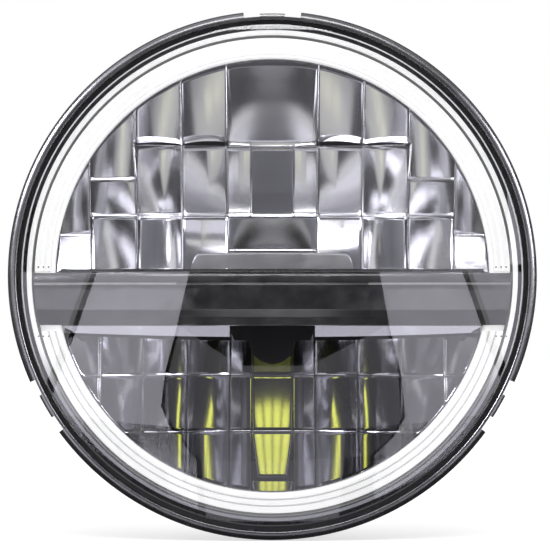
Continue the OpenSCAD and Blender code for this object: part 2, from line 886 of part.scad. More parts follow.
// A smooth route through hand-chosen points, with three places between each two
function route(p) = [
    for (i = [0 : len(p) - 2], k = [0 : (i == len(p) - 2 ? 3 : 2)])
        let (
            t = k / 3,
            a = p[max(i - 1, 0)],
            b = p[i],
            c = p[i + 1],
            d = p[min(i + 2, len(p) - 1)]
        )
        0.5 * (2 * b + t * (c - a) + t * t * (2 * a - 5 * b + 4 * c - d)
            + t * t * t * (3 * b - a - 3 * c + d))
];

// A round tube along a route, as one closed solid
module tube(p, r, across) {
    n = 8;
    path = route(p);
    last = len(path) - 1;
    rings = [
        for (i = [0 : last])
            let (
                way = path[min(i + 1, last)] - path[max(i - 1, 0)],
                side = cross(way, across),
                u = side / norm(side),
                w = cross(way, u) / norm(cross(way, u))
            )
            for (k = [0 : n - 1])
                path[i] + r * (cos(360 * k / n) * u + sin(360 * k / n) * w)
    ];
    walls = [
        for (i = [0 : last - 1], k = [0 : n - 1])
            let (a = i * n + k, b = i * n + (k + 1) % n)
            for (f = [[a, a + n, b + n], [a, b + n, b]]) f
    ];
    polyhedron(rings, concat(walls, [[for (k = [0 : n - 1]) k]],
        [[for (k = [n - 1 : -1 : 0]) last * n + k]]));
}

low_lead_z = shelf_top + pad_t + board_t / 2;
high_lead_z = shelf_bottom - pad_t - board_t / 2;
board_side = led_board_w / 2 + fit;
shelf_side = shelf_w / 2 + 1.2 + lead_r;
lead_mid_y = heel_y - 4;

module low_beam_leads() {
    low_end_y = low_led_y + 2;
    color("firebrick")
    for (side = [-lead_pitch / 2, lead_pitch / 2])
        tube([
            [-lead_hole_x, board_front - fit, bar_mid + side],
            [-lead_hole_x, bowl_depth - 3, bar_mid + side],
            [-shelf_side - 3, bowl_depth - 11, bar_mid + side],
            [-shelf_side - 1, lead_mid_y, (bar_mid + shelf_top) / 2 + side],
            [-shelf_side - 0.5, low_end_y + 5 + side, shelf_top],
            [-shelf_side + 3, low_end_y + 1 + side, low_lead_z + 0.1],
            [-board_side - 5, low_end_y + side, low_lead_z + 0.1],
            [-board_side, low_end_y + side, low_lead_z]
        ], lead_r, [1, 1, 0]);
}

module high_beam_leads() {
    high_end_y = high_led_y + 5;
    color("firebrick")
    for (side = [-lead_pitch / 2, lead_pitch / 2])
        tube([
            [lead_hole_x, board_front - fit, bar_mid + side],
            [lead_hole_x, bowl_depth - 3, bar_mid + side],
            [shelf_side + 3, bowl_depth - 11, bar_mid + side],
            [shelf_side + 1, lead_mid_y + 1, bar_mid - 2.5 + side],
            [shelf_side + 0.8, high_end_y + 6 - side, shelf_bottom + 0.6],
            [shelf_side - 1.5, high_end_y + 2 - side, high_lead_z - 0.2],
            [board_side + 5, high_end_y - side, high_lead_z - 0.1],
            [board_side, high_end_y - side, high_lead_z]
        ], lead_r, [-1, 1, 0]);
}

module shelf_screws() {
    color("gainsboro")
    for (p = shelf_screws_at)
        cap_screw(p, cover_screw_r - 0.05, base_back, wall + 9, 2.2);
}

module reflector_screws() {
    color("gainsboro")
    for (p = concat(upper_bosses, lower_bosses))
        cap_screw(p, small_screw_r - 0.05, base_back, wall + 7, 1.8);
}

module driver_board() {
    color("seagreen")
    difference() {
        round_y([0, 0], board_d / 2, board_front, board_back);
        for (p = standoffs_at)
            round_y(p, small_screw_r + screw_fit, board_front - over, board_back + over);
    }
}

module driver_board_screws() {
    color("gainsboro")
    for (p = standoffs_at)
        cap_screw(p, small_screw_r, board_back, board_t + standoff_h, 1.6);
}

module driver_inductors() {
    color("darkslategray")
    for (sx = [-1, 1])
        difference() {
            round_y([sx * inductor_x, inductor_z], inductor_r, board_back, board_back + inductor_h);
            round_y([sx * inductor_x, inductor_z], inductor_r / 3, board_back + 0.6 * inductor_h,
                board_back + inductor_h + over);
        }
}

module driver_capacitors() {
    color("silver")
    for (sx = [-1, 1], k = [0, 1])
        round_y([sx * capacitor_x, -capacitor_drop - k * capacitor_pitch], capacitor_r,
            board_back, board_back + capacitor_h);
}

module driver_chips() {
    color([0.15, 0.15, 0.15])
    for (at = [[-chip_x, -chip_drop], [chip_x, -chip_drop], [0, chip_rise]])
        box(span(at[0], chip_w / 2), [board_back, board_back + chip_h], span(at[1], chip_w / 2));
}

module rear_cover_gasket() {
    color("black")
    turned([[chamber_r + fit, turret_back], [gasket_r, turret_back],
        [gasket_r, cover_front], [chamber_r + fit, cover_front]]);
}

module rear_cover() {
    plateau = 0.8;
    color("dimgray")
    difference() {
        union() {
            round_y([0, 0], cover_r, cover_front, cover_back - plateau);
            round_y([0, 0], plateau_r, cover_front, cover_back);
        }
        round_y([0, 0], spigot_r + screw_fit, cover_front - over, cover_back + over);
        round_y([0, vent_z], 3 + screw_fit, cover_front - over, cover_back + over);
        for (a = [45 : 90 : 315])
            round_y(cover_screw_pitch * [cos(a), sin(a)], cover_screw_r + screw_fit,
                cover_front - over, cover_back + over);
    }
}

module rear_cover_screws() {
    seat = cover_back - 0.8;
    color("gainsboro")
    for (a = [45 : 90 : 315])
        cap_screw(cover_screw_pitch * [cos(a), sin(a)], cover_screw_r, seat,
            seat - cover_front + 7.5, 2.4);
}

module connector_seal() {
    color("black")
    turned([[spigot_r + fit, cover_back], [socket_flange_r - 0.6, cover_back],
        [socket_flange_r - 0.6, socket_front], [spigot_r + fit, socket_front]]);
}

// The three blades, each as ranges along x and z, grown by a clearance
function blade_ranges(grow) =
    let (w = blade_w / 2 + grow, t = blade_t / 2 + grow)
    [
        [span(0, w), span(top_blade_z, t)],
        [span(-blade_gap / 2, t), span(-1, w)],
        [span(blade_gap / 2, t), span(-1, w)]
    ];

module connector_socket() {
    color([0.1, 0.1, 0.1])
    difference() {
        union() {
            round_y([0, 0], spigot_r, cover_front - 1, shroud_front);
            round_y([0, 0], socket_flange_r, socket_front, shroud_front);
            difference() {
                rounded_block(shroud_w, shroud_h, 3, shroud_front - 0.5, shroud_back);
                rounded_block(shroud_w - 2 * shroud_wall, shroud_h - 2 * shroud_wall, 1.5,
                    shroud_front, shroud_back + over);
            }
            box(span(0, 2), [shroud_front - 0.5, shroud_back - 2], [shroud_h / 2 - 0.5, shroud_h / 2 + 1.2]);
        }
        for (b = blade_ranges(slot_fit))
            box(b[0], [cover_front - 2, shroud_front + over], b[1]);
    }
}

module connector_blades() {
    color("peru")
    for (b = blade_ranges(0))
        box(b[0], [board_back, blade_back], b[1]);
}

module breather_vent() {
    color([0.1, 0.1, 0.1])
    union() {
        round_y([0, vent_z], 3, cover_front - 0.5, cover_back + 0.5);
        round_y([0, vent_z], 5, cover_back, cover_back + 1.6);
    }
}

housing();
lens();
lens_seal();
halo_tray();
upper_light_guide();
lower_light_guide();
halo_boards();
halo_leds();
crossbar();
upper_reflector();
lower_reflector();
led_shelf();
thermal_pads();
low_beam_board();
low_beam_leds();
high_beam_board();
high_beam_leds();
high_beam_holder();
low_beam_cover();
low_beam_leads();
high_beam_leads();
shelf_screws();
reflector_screws();
driver_board();
driver_board_screws();
driver_inductors();
driver_capacitors();
driver_chips();
rear_cover_gasket();
rear_cover();
rear_cover_screws();
connector_seal();
connector_socket();
connector_blades();
breather_vent();
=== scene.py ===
import math

import bmesh
import bpy
from mathutils import Matrix, Vector


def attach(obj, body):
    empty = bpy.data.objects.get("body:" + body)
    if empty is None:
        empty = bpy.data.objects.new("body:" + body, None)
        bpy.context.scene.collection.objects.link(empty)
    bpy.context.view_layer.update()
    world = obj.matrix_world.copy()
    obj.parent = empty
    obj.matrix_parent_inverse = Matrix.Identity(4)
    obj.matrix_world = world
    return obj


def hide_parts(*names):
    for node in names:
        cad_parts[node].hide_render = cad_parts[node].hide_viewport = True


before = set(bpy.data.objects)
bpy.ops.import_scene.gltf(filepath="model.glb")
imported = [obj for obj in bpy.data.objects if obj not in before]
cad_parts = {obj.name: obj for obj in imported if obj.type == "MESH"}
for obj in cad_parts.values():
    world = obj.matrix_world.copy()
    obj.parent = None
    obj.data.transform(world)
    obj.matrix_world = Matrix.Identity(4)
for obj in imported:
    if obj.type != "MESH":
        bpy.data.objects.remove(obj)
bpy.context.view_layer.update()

# Cast housing
# One aluminium die casting, painted satin black: the notched rim, the groove that holds the
# lens, the bowl behind the reflectors and the cooling fins, which run back to the driver
# chamber. It is turned about the lamp's axis, which is Y.
MM = 0.001
RIM_R = 89.0
LIP_R = 86.0
POCKET_R = 83.0
GROOVE_FLOOR = -2.6
NOTCHES = (90, 210, 330)
NOTCH_EDGES = (-6.27, -6.25, -2.76, -2.74, 2.74, 2.76, 6.25, 6.27)
NOTCH_HALF = 6.26
NOTCH_DEPTH = 1.9
TOOTH_HALF = 2.75
TOOTH_DEPTH = 0.9
NOTCHED_FROM = 86.8
BASE_FRONT = 49
BASE_REAR = 52
LEAD_HOLE_R = 3.5
LEAD_HOLE_X = 31
LEAD_HOLE_Z = -8
FIN_COUNT = 36
FIN_HALF = 1
COVER_SCREW_RING = 43
STANDOFF_X = 10
STANDOFF_Z = 27
RIM_OUTER_CORNER = (88.7, -0.3, 0.3)
RIM_FRONT_CORNER = (86.7, -6.7, 2.3)
RIM_INNER_CORNER = (86.5, -8.5, 0.5)
BOWL_INSIDE = [(POCKET_R, 1), (77, 1), (72, 10), (52, 34), (46, BASE_FRONT), (45, BASE_FRONT)]
BOWL_OUTSIDE = [(45, BASE_REAR), (49, BASE_REAR), (56, 35), (76, 12), (84.5, 4)]
FIN_OUTLINE = [(82, 2.5), (83, 5.5), (83, 26), (62, 55), (42, 58), (37, 58), (37, 50.5), (47.5, 50),
               (53.5, 34.5), (73.5, 11)]


def finish(name, color, metallic=0.0, roughness=0.5, grain=0.05, grain_size=0.6, rough_swing=0.08,
           shade_swing=0.06, shade_size=14.0, coat=0.0, coat_roughness=0.1, specular=0.5):
    """A surface with fine grain, drifting roughness and slightly uneven colour. Sizes in millimetres."""
    material = bpy.data.materials.new(name)
    material.use_nodes = True
    nodes = material.node_tree.nodes
    links = material.node_tree.links
    shader = nodes["Principled BSDF"]
    shader.inputs["Metallic"].default_value = metallic
    shader.inputs["Coat Weight"].default_value = coat
    shader.inputs["Coat Roughness"].default_value = coat_roughness
    shader.inputs["Specular IOR Level"].default_value = specular
    place = nodes.new("ShaderNodeTexCoord")
    cloud = nodes.new("ShaderNodeTexNoise")
    cloud.inputs["Scale"].default_value = 1 / (shade_size * MM)
    cloud.inputs["Detail"].default_value = 3
    links.new(place.outputs["Object"], cloud.inputs["Vector"])
    shade = nodes.new("ShaderNodeMix")
    shade.data_type = "RGBA"
    shade.inputs["A"].default_value = [c * (1 - shade_swing) for c in color] + [1]
    shade.inputs["B"].default_value = [min(1, c * (1 + shade_swing)) for c in color] + [1]
    links.new(cloud.outputs["Fac"], shade.inputs["Factor"])
    links.new(shade.outputs["Result"], shader.inputs["Base Color"])
    swing = nodes.new("ShaderNodeMapRange")
    swing.inputs["To Min"].default_value = max(0.02, roughness - rough_swing)
    swing.inputs["To Max"].default_value = roughness + rough_swing
    links.new(cloud.outputs["Fac"], swing.inputs["Value"])
    links.new(swing.outputs["Result"], shader.inputs["Roughness"])
    if grain > 0:
        grit = nodes.new("ShaderNodeTexNoise")
        grit.inputs["Scale"].default_value = 1 / (grain_size * MM)
        grit.inputs["Detail"].default_value = 2
        links.new(place.outputs["Object"], grit.inputs["Vector"])
        bump = nodes.new("ShaderNodeBump")
        bump.inputs["Strength"].default_value = 0.5
        bump.inputs["Distance"].default_value = grain * MM
        links.new(grit.outputs["Fac"], bump.inputs["Height"])
        links.new(bump.outputs["Normal"], shader.inputs["Normal"])
    return material


def piece(name, shape, material, nodes, sharp=30):
    """Makes a finished object from a bmesh, in place of its CAD nodes."""
    bmesh.ops.remove_doubles(shape, verts=shape.verts, dist=1e-6)
    bmesh.ops.recalc_face_normals(shape, faces=shape.faces)
    mesh = bpy.data.meshes.new(name)
    shape.to_mesh(mesh)
    shape.free()
    mesh.shade_smooth()
    mesh.set_sharp_from_angle(angle=math.radians(sharp))
    mesh.materials.append(material)
    made = bpy.data.objects.new(name, mesh)
    bpy.context.scene.collection.objects.link(made)
    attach(made, "root")
    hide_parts(*nodes)
    return made


def turn(shape, profile, steps=240):
    """Turns a closed outline, given as radius and depth in millimetres, about the lamp's axis."""
    corners = [shape.verts.new((r * MM, y * MM, 0)) for r, y in profile]
    sides = [shape.edges.new(pair) for pair in zip(corners, corners[1:] + corners[:1])]
    bmesh.ops.spin(shape, geom=corners + sides, cent=(0, 0, 0), axis=(0, 1, 0),
                   angle=math.tau, steps=steps, use_merge=True)


def arc(r, y, radius, start, stop, steps=6):
    """Points of an arc in a turned outline, with angles in degrees from outwards to rearwards."""
    turns = [math.radians(start + (stop - start) * i / steps) for i in range(steps + 1)]
    return [(r + radius * math.cos(t), y + radius * math.sin(t)) for t in turns]


def round_off(shape, edges, radius, segments=3):
    """Rounds edges by a radius in millimetres."""
    bmesh.ops.bevel(shape, geom=edges, offset=radius * MM, segments=segments, profile=0.5,
                    affect="EDGES", material=-1)


def drum(shape, x, z, r, near, far, segments=32):
    """A closed cylinder along the depth, in millimetres."""
    made = bmesh.ops.create_cone(shape, cap_ends=True, segments=segments, radius1=r * MM,
                                 radius2=r * MM, depth=(far - near) * MM)
    bmesh.ops.rotate(shape, verts=made["verts"], cent=(0, 0, 0),
                     matrix=Matrix.Rotation(math.pi / 2, 3, "X"))
    bmesh.ops.translate(shape, verts=made["verts"], vec=(x * MM, (near + far) / 2 * MM, z * MM))


def new_verts(made):
    """The new corners in what an extrusion or a copy gives back."""
    return [g for g in made["geom"] if isinstance(g, bmesh.types.BMVert)]


def cut_away(shape, tool):
    """Cuts a second closed shape out of the first and gives the result."""
    objects = []
    for part in (shape, tool):
        bmesh.ops.recalc_face_normals(part, faces=part.faces)
        mesh = bpy.data.meshes.new("work")
        part.to_mesh(mesh)
        part.free()
        objects.append(bpy.data.objects.new("work", mesh))
        bpy.context.scene.collection.objects.link(objects[-1])
    step = objects[0].modifiers.new("work", "BOOLEAN")
    step.operation = "DIFFERENCE"
    step.solver = "EXACT"
    step.object = objects[1]
    bpy.context.view_layer.update()
    ready = objects[0].evaluated_get(bpy.context.evaluated_depsgraph_get())
    result = bmesh.new()
    result.from_mesh(ready.to_mesh())
    for worn in objects:
        bpy.data.objects.remove(worn)
    return result


def join(shape, other):
    """Moves a second shape into the first."""
    mesh = bpy.data.meshes.new("work")
    other.to_mesh(mesh)
    other.free()
    shape.from_mesh(mesh)


cast_black = finish("cast_black", (0.19, 0.19, 0.19), metallic=0.95, roughness=0.27, grain=0.03,
                    grain_size=0.4, rough_swing=0.1, shade_swing=0.2, shade_size=9)
casting = bmesh.new()
turn(casting, [(84.5, 0)] + arc(*RIM_OUTER_CORNER, 90, 0, 3) + arc(*RIM_FRONT_CORNER, 0, -90, 8)
     + arc(*RIM_INNER_CORNER, -90, -180, 4) + [(LIP_R, GROOVE_FLOOR), (POCKET_R, GROOVE_FLOOR)]
     + BOWL_INSIDE + BOWL_OUTSIDE)
for middle in NOTCHES:
    for edge in NOTCH_EDGES:
        way = math.radians(middle + edge)
        whole = casting.verts[:] + casting.edges[:] + casting.faces[:]
        bmesh.ops.bisect_plane(casting, geom=whole, plane_co=(0, 0, 0),
                               plane_no=(-math.sin(way), 0, math.cos(way)))
for vert in casting.verts:
    out = math.hypot(vert.co.x, vert.co.z)
    way = math.degrees(math.atan2(vert.co.z, vert.co.x)) % 360
    for middle in NOTCHES:
        off = abs(way - middle)
        if out > NOTCHED_FROM * MM and off < NOTCH_HALF:
            kept_r = RIM_R - (NOTCH_DEPTH if off > TOOTH_HALF else TOOTH_DEPTH)
            vert.co.x *= min(1, kept_r * MM / out)
            vert.co.z *= min(1, kept_r * MM / out)

# The chamber wall and the bowl's base, with its two lead holes
turn(casting, arc(39.6, 63.6, 0.4, 90, 0, 3) + [(40, 51.9), (36, 51.9), (36, 64)])
base_plate = bmesh.new()
drum(base_plate, 0, 0, 45.5, BASE_FRONT, BASE_REAR, 120)
base_holes = bmesh.new()
for side in (-1, 1):
    drum(base_holes, side * LEAD_HOLE_X, LEAD_HOLE_Z, LEAD_HOLE_R, BASE_FRONT - 1, BASE_REAR + 1)
join(casting, cut_away(base_plate, base_holes))

# The fins, the screw bosses between them and the stand-offs of the driver board
fins = bmesh.new()
ring = [fins.verts.new((r * MM, y * MM, -FIN_HALF * MM)) for r, y in FIN_OUTLINE]
side = fins.faces.new(ring)
grown = bmesh.ops.extrude_face_region(fins, geom=[side])
bmesh.ops.translate(fins, verts=new_verts(grown), vec=(0, 0, 2 * FIN_HALF * MM))
bmesh.ops.recalc_face_normals(fins, faces=fins.faces)
round_off(fins, [e for e in fins.edges if e.calc_face_angle(0) > 0.3], 0.4, 2)
one = fins.verts[:] + fins.edges[:] + fins.faces[:]
for _ in range(FIN_COUNT - 1):
    copied = bmesh.ops.duplicate(fins, geom=one)
    one = copied["geom"]
    bmesh.ops.rotate(fins, verts=new_verts(copied), cent=(0, 0, 0),
                     matrix=Matrix.Rotation(math.tau / FIN_COUNT, 3, "Y"))
bmesh.ops.rotate(fins, verts=fins.verts, cent=(0, 0, 0),
                 matrix=Matrix.Rotation(math.tau / FIN_COUNT / 2, 3, "Y"))
for angle in (45, 135, 225, 315):
    way = math.radians(angle)
    drum(fins, COVER_SCREW_RING * math.cos(way), COVER_SCREW_RING * math.sin(way), 4.5, 51, 64)
for x in (-STANDOFF_X, STANDOFF_X):
    for z in (-STANDOFF_Z, STANDOFF_Z):
        drum(fins, x, z, 3, 51.9, 55.5)
join(casting, fins)
piece("cast_housing", casting, cast_black, ["housing"])

# Silicone bead
# A black silicone bead lies in the rim's groove and seals the lens's skirt. The CAD ring is
# right as it is and gets its rubber.


def dress(node, material):
    """Gives a CAD node its material."""
    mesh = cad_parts[node].data
    mesh.materials.clear()
    mesh.materials.append(material)


rubber = finish("rubber", (0.02, 0.02, 0.02), roughness=0.6, grain=0.02, grain_size=0.4)
dress("lens_seal", rubber)

# Halo tray
# A moulded ring of bright metallised plastic that carries the light guides in a shallow trough
# and ends outside in a narrow lip. Its bright faces are given a painted glow. The rest of the tray,
# chiefly the trough's outer floor and the walls beside the lip, is painted dark as painted shade.
# Below the bar the lip fades dark as painted shade, with one light line.
TRAY_LIP = -5.9
LIP_SPLIT = 81.6
TROUGH_FLOOR = -1
BRIGHT_TROUGH_R = 80.1
PAINTED_SHADE_BELOW_BAR = (-22, -42)


def glow(material, color, strength):
    """Paints light into a surface: lets it give out a little light of its own."""
    shader = material.node_tree.nodes["Principled BSDF"]
    shader.inputs["Emission Color"].default_value = (*color, 1)
    shader.inputs["Emission Strength"].default_value = strength


def fade_out(material, axis, start, stop, color, mirrored=False):
    """Fades a surface, and any light of its own, to a darker colour between two places along an
    axis, in millimetres. A mirrored fade does so on both sides of the middle."""
    nodes = material.node_tree.nodes
    links = material.node_tree.links
    shader = nodes["Principled BSDF"]
    place = nodes.new("ShaderNodeTexCoord")
    apart = nodes.new("ShaderNodeSeparateXYZ")
    links.new(place.outputs["Object"], apart.inputs["Vector"])
    along = apart.outputs[axis]
    if mirrored:
        sideways = nodes.new("ShaderNodeMath")
        sideways.operation = "ABSOLUTE"
        links.new(along, sideways.inputs[0])
        along = sideways.outputs["Value"]
    fade = nodes.new("ShaderNodeMapRange")
    fade.interpolation_type = "SMOOTHSTEP"
    fade.inputs["From Min"].default_value = start * MM
    fade.inputs["From Max"].default_value = stop * MM
    links.new(along, fade.inputs["Value"])
    darker = nodes.new("ShaderNodeMix")
    darker.data_type = "RGBA"
    darker.inputs["B"].default_value = (*color, 1)
    links.new(fade.outputs["Result"], darker.inputs["Factor"])
    links.new(nodes["Mix"].outputs["Result"], darker.inputs["A"])
    links.new(darker.outputs["Result"], shader.inputs["Base Color"])
    if shader.inputs["Emission Strength"].default_value > 0:
        links.new(darker.outputs["Result"], shader.inputs["Emission Color"])


# Painted shade and light: the first, dark material stands for the shade in the narrow gap beside the lip.
# The bright ones get a painted glow, and the two lip colours fade to painted shade below the bar.
tray_painted_shade = finish("tray_painted_shade", (0.3, 0.3, 0.3), roughness=0.4, grain=0)
tray_painted_glow = finish("tray_painted_glow", (0.95, 0.95, 0.95), roughness=0.35, grain=0)
lip_inner = finish("lip_inner", (0.95, 0.95, 0.95), roughness=0.35, grain=0)
lip_outer = finish("lip_outer", (0.95, 0.95, 0.95), roughness=0.35, grain=0)
for bright in (tray_painted_glow, lip_inner, lip_outer):
    glow(bright, (1, 1, 1), 0.35)
fade_out(lip_inner, "Z", *PAINTED_SHADE_BELOW_BAR, (0.05, 0.05, 0.055))
fade_out(lip_outer, "Z", *PAINTED_SHADE_BELOW_BAR, (0.24, 0.24, 0.27))
tray = bmesh.new()
turn(tray, [(82.7, 0.7)] + arc(82.4, TRAY_LIP, 0.3, 0, -90, 3) + [(LIP_SPLIT, TRAY_LIP - 0.3)]
     + arc(81.3, TRAY_LIP, 0.3, -90, -180, 3)
     + [(81, TROUGH_FLOOR), (80.2, TROUGH_FLOOR), (73.9, TROUGH_FLOOR), (73.9, -4.6), (73.2, -4.6),
        (73.2, 0.7)])
tray_piece = piece("tray", tray, tray_painted_shade, ["halo_tray"])
for material in (tray_painted_glow, lip_inner, lip_outer):
    tray_piece.data.materials.append(material)
# Lip faces take the two lip colours and trough faces inside the bright radius take the glowing one. Every
# other face keeps the painted shade.
for face in tray_piece.data.polygons:
    out = math.hypot(face.center.x, face.center.z)
    if face.center.y < (TRAY_LIP + 0.05) * MM:
        face.material_index = 2 if out < LIP_SPLIT * MM else 3
    elif out < BRIGHT_TROUGH_R * MM:
        face.material_index = 1

# Light guides
# Two arcs of frosted acrylic lie in the tray and carry the light of small LEDs that hide behind
# the crossbar's ends. Each has two fine ridges on its face and three dots beside each end. The
# acrylic is given a painted glow so that it looks bright white, and on the lower arc the ridge
# grooves are painted darker as painted shade.
HALO_R = 80.0
HALO_IN_R = 74.2
HALO_FRONT = -6.5
HALO_BACK = -1.3
RIDGES = (77.6, 75.4)
RIDGE_HALF = 0.3
RIDGE_DEPTH = 0.6
DOTS = (-78.7, -77, -75.3, 75.3, 77, 78.7)
DOT_R = 0.32
DOT_RISE = 0.12
UPPER_GUIDE_END = 1.2
LOWER_GUIDE_END = -18.7

# Painted light: the frosted acrylic is given a glow of its own.
frosted = finish("frosted_acrylic", (0.9, 0.9, 0.9), roughness=0.3, grain=0, coat=0.5)
glow(frosted, (1, 1, 1), 0.4)


def light_guide(name, node, side, level):
    """Makes the arc of the light guide above a level, with side 1, or below it, with side -1."""
    shape = bmesh.new()
    outline = [(HALO_IN_R, HALO_BACK), (HALO_IN_R, HALO_FRONT)]
    for ridge in reversed(RIDGES):
        outline += [(ridge - RIDGE_HALF, HALO_FRONT), (ridge, HALO_FRONT + RIDGE_DEPTH),
                    (ridge + RIDGE_HALF, HALO_FRONT)]
    outline += [(HALO_R, HALO_FRONT), (HALO_R, HALO_BACK)]
    turn(shape, outline)
    everything = shape.verts[:] + shape.edges[:] + shape.faces[:]
    cut = bmesh.ops.bisect_plane(shape, geom=everything, plane_co=(0, 0, level * MM),
                                 plane_no=(0, 0, -side), clear_outer=True)
    open_ends = [e for e in cut["geom_cut"] if isinstance(e, bmesh.types.BMEdge)]
    bmesh.ops.holes_fill(shape, edges=open_ends)
    round_off(shape, [e for e in shape.edges if e.calc_face_angle(0) > 1.2], 0.3)
    for x in DOTS:
        drum(shape, x, level + side * 1.7, DOT_R, HALO_FRONT - DOT_RISE, HALO_FRONT + 0.3, 12)
    return piece(name, shape, frosted, [node])


upper_halo = light_guide("upper_halo", "upper_light_guide", 1, UPPER_GUIDE_END)
lower_halo = light_guide("lower_halo", "lower_light_guide", -1, LOWER_GUIDE_END)
dot_grey = finish("dot_grey", (0.22, 0.22, 0.23), roughness=0.4, grain=0)
for guide in (upper_halo, lower_halo):
    guide.data.materials.append(dot_grey)
    for face in guide.data.polygons:
        if face.center.y < (HALO_FRONT - 0.02) * MM:
            face.material_index = 1
# Painted shade: on the lower arc only, the ridge grooves get a darker colour with a weaker glow.
ridge_painted_shade = finish("ridge_painted_shade", (0.75, 0.75, 0.74), roughness=0.4, grain=0)
glow(ridge_painted_shade, (1, 1, 1), 0.1)
lower_halo.data.materials.append(ridge_painted_shade)
for face in lower_halo.data.polygons:
    out = math.hypot(face.center.x, face.center.z) / MM
    in_ridge = min(abs(out - ridge) for ridge in RIDGES) < 0.26
    if in_ridge and (HALO_FRONT + 0.01) * MM < face.center.y < -5 * MM:
        face.material_index = 2

# Crossbar
# A glossy black moulding that runs across the lamp just under the lens and follows its curve.
# Its top and bottom edges are set back in narrow strips, and two ribs behind stiffen it. The top
# strip is painted pale outside the middle as a painted highlight. In the middle both strips
# carry a grey painted reflection that fades to near black towards the ends.
DOME_R = 291.7
DOME_Y = 269.72
BAR_DOME = 287.2
BAR_END_R = 80.3
BAR_SKIN = 2
# From the foot up: the level and how far the face is set back there
BAR_LEVELS = [(-16.7, 1.3), (-16.3, 0.85), (-14.1, 0.8), (-13.8, 0.45), (-12.2, 0.4), (-11.8, 0.05),
              (-11.2, 0), (-9, 0), (-7, 0), (-5, 0), (-3.4, 0), (-3.0, 0.05), (-2.7, 0.18), (-2.45, 0.4),
              (-2.3, 0.75), (0.4, 0.85), (0.9, 1.3)]
UPPER_LINE = (-3, -2.3)
LOWER_LINE = (-13.8, -11.5)
MIDDLE_HALF = 33
BAR_RIBS = ((-16.6, -14.7), (-1.1, 0.8))
RIB_HALF = 72.5
RIB_REAR = 2.5


def dome_depth(ball, r):
    """The depth of a ball that shares the lens's centre, at a radius from the axis."""
    return DOME_Y - math.sqrt(ball * ball - r * r)


def faces_of(verts):
    """The faces that touch any of these corners, each once and always in the same order."""
    return list(dict.fromkeys(face for vert in verts for face in vert.link_faces))


black_gloss = finish("black_gloss", (0.04, 0.04, 0.042), roughness=0.16, grain=0.7, grain_size=10,
                     coat=0.3, shade_swing=0.95, shade_size=7)
# Painted reflection and highlight: a grey band for the middle of the strips, fading dark towards the
# ends, and a pale colour for the top strip's outer faces.
middle_painted_reflection = finish("middle_painted_reflection", (0.15, 0.15, 0.155), roughness=0.3, shade_swing=0.6, shade_size=9)
fade_out(middle_painted_reflection, "X", 8, 32, (0.03, 0.03, 0.032), mirrored=True)
edge_painted_highlight = finish("edge_painted_highlight", (0.25, 0.25, 0.26), roughness=0.3, shade_swing=0.5, shade_size=3)
bar = bmesh.new()
grid = bmesh.ops.create_grid(bar, x_segments=80, y_segments=len(BAR_LEVELS) - 1, size=1)
for vert in grid["verts"]:
    level, set_back = BAR_LEVELS[round((vert.co.y + 1) / 2 * (len(BAR_LEVELS) - 1))]
    x = vert.co.x * math.sqrt(BAR_END_R ** 2 - level ** 2)
    y = dome_depth(BAR_DOME, math.hypot(x, level)) + set_back
    vert.co = (x * MM, y * MM, level * MM)
skin = bmesh.ops.extrude_face_region(bar, geom=bar.faces[:], use_keep_orig=True)
bmesh.ops.translate(bar, verts=new_verts(skin), vec=(0, BAR_SKIN * MM, 0))
for low, high in BAR_RIBS:
    wall = bmesh.ops.create_grid(bar, x_segments=40, y_segments=1, size=1)
    for vert in wall["verts"]:
        x = vert.co.x * RIB_HALF
        y = RIB_REAR if vert.co.y > 0 else dome_depth(BAR_DOME, abs(x)) + BAR_SKIN
        vert.co = (x * MM, y * MM, low * MM)
    lifted = bmesh.ops.extrude_face_region(bar, geom=faces_of(wall["verts"]), use_keep_orig=True)
    bmesh.ops.translate(bar, verts=new_verts(lifted), vec=(0, 0, (high - low) * MM))
bar_piece = piece("bar", bar, black_gloss, ["crossbar"], sharp=50)
bar_piece.data.materials.append(edge_painted_highlight)
bar_piece.data.materials.append(middle_painted_reflection)
# The strips' forward-facing faces take the painted highlight outside the middle and the painted
# reflection within it.
for face in bar_piece.data.polygons:
    level = face.center.z / MM
    central = abs(face.center.x) < MIDDLE_HALF * MM
    if face.normal.y < -0.2 and UPPER_LINE[0] < level < UPPER_LINE[1]:
        face.material_index = 2 if central else 1
    if face.normal.y < -0.2 and LOWER_LINE[0] < level < LOWER_LINE[1] and central:
        face.material_index = 2

# Upper reflector
# A thin moulding with bright vacuum plating. Its face is a bowl cut into cells, every cell has a
# shallow upright flute that spreads the beam sideways, and a plated flat joins it to the bar.
REFLECTOR_R = 72.9
UPPER_EDGE = 1.2
UPPER_ROW = 20.4
UPPER_NEXT = 44.5
RIM_LEVEL = 73
COLUMN = 15.4
HALF_COLUMN = 7.4
CELL_BACK = 2.4
CELL_GAP = 0.06
CELL_ROUND = 0.25
FLAT_HALF = 72.6
FLAT_THICKNESS = 1.1
LED_WINDOW = (8.2, 11.9, 19.9)

plating = finish("reflector_plating", (0.9, 0.9, 0.91), metallic=1.0, roughness=0.09, grain=0.004,
                 grain_size=5, rough_swing=0.02, shade_swing=0.02)


def upper_face(x, z):
    """The depth of the upper bowl."""
    return 42.9 - (x * x + z * z) / 120


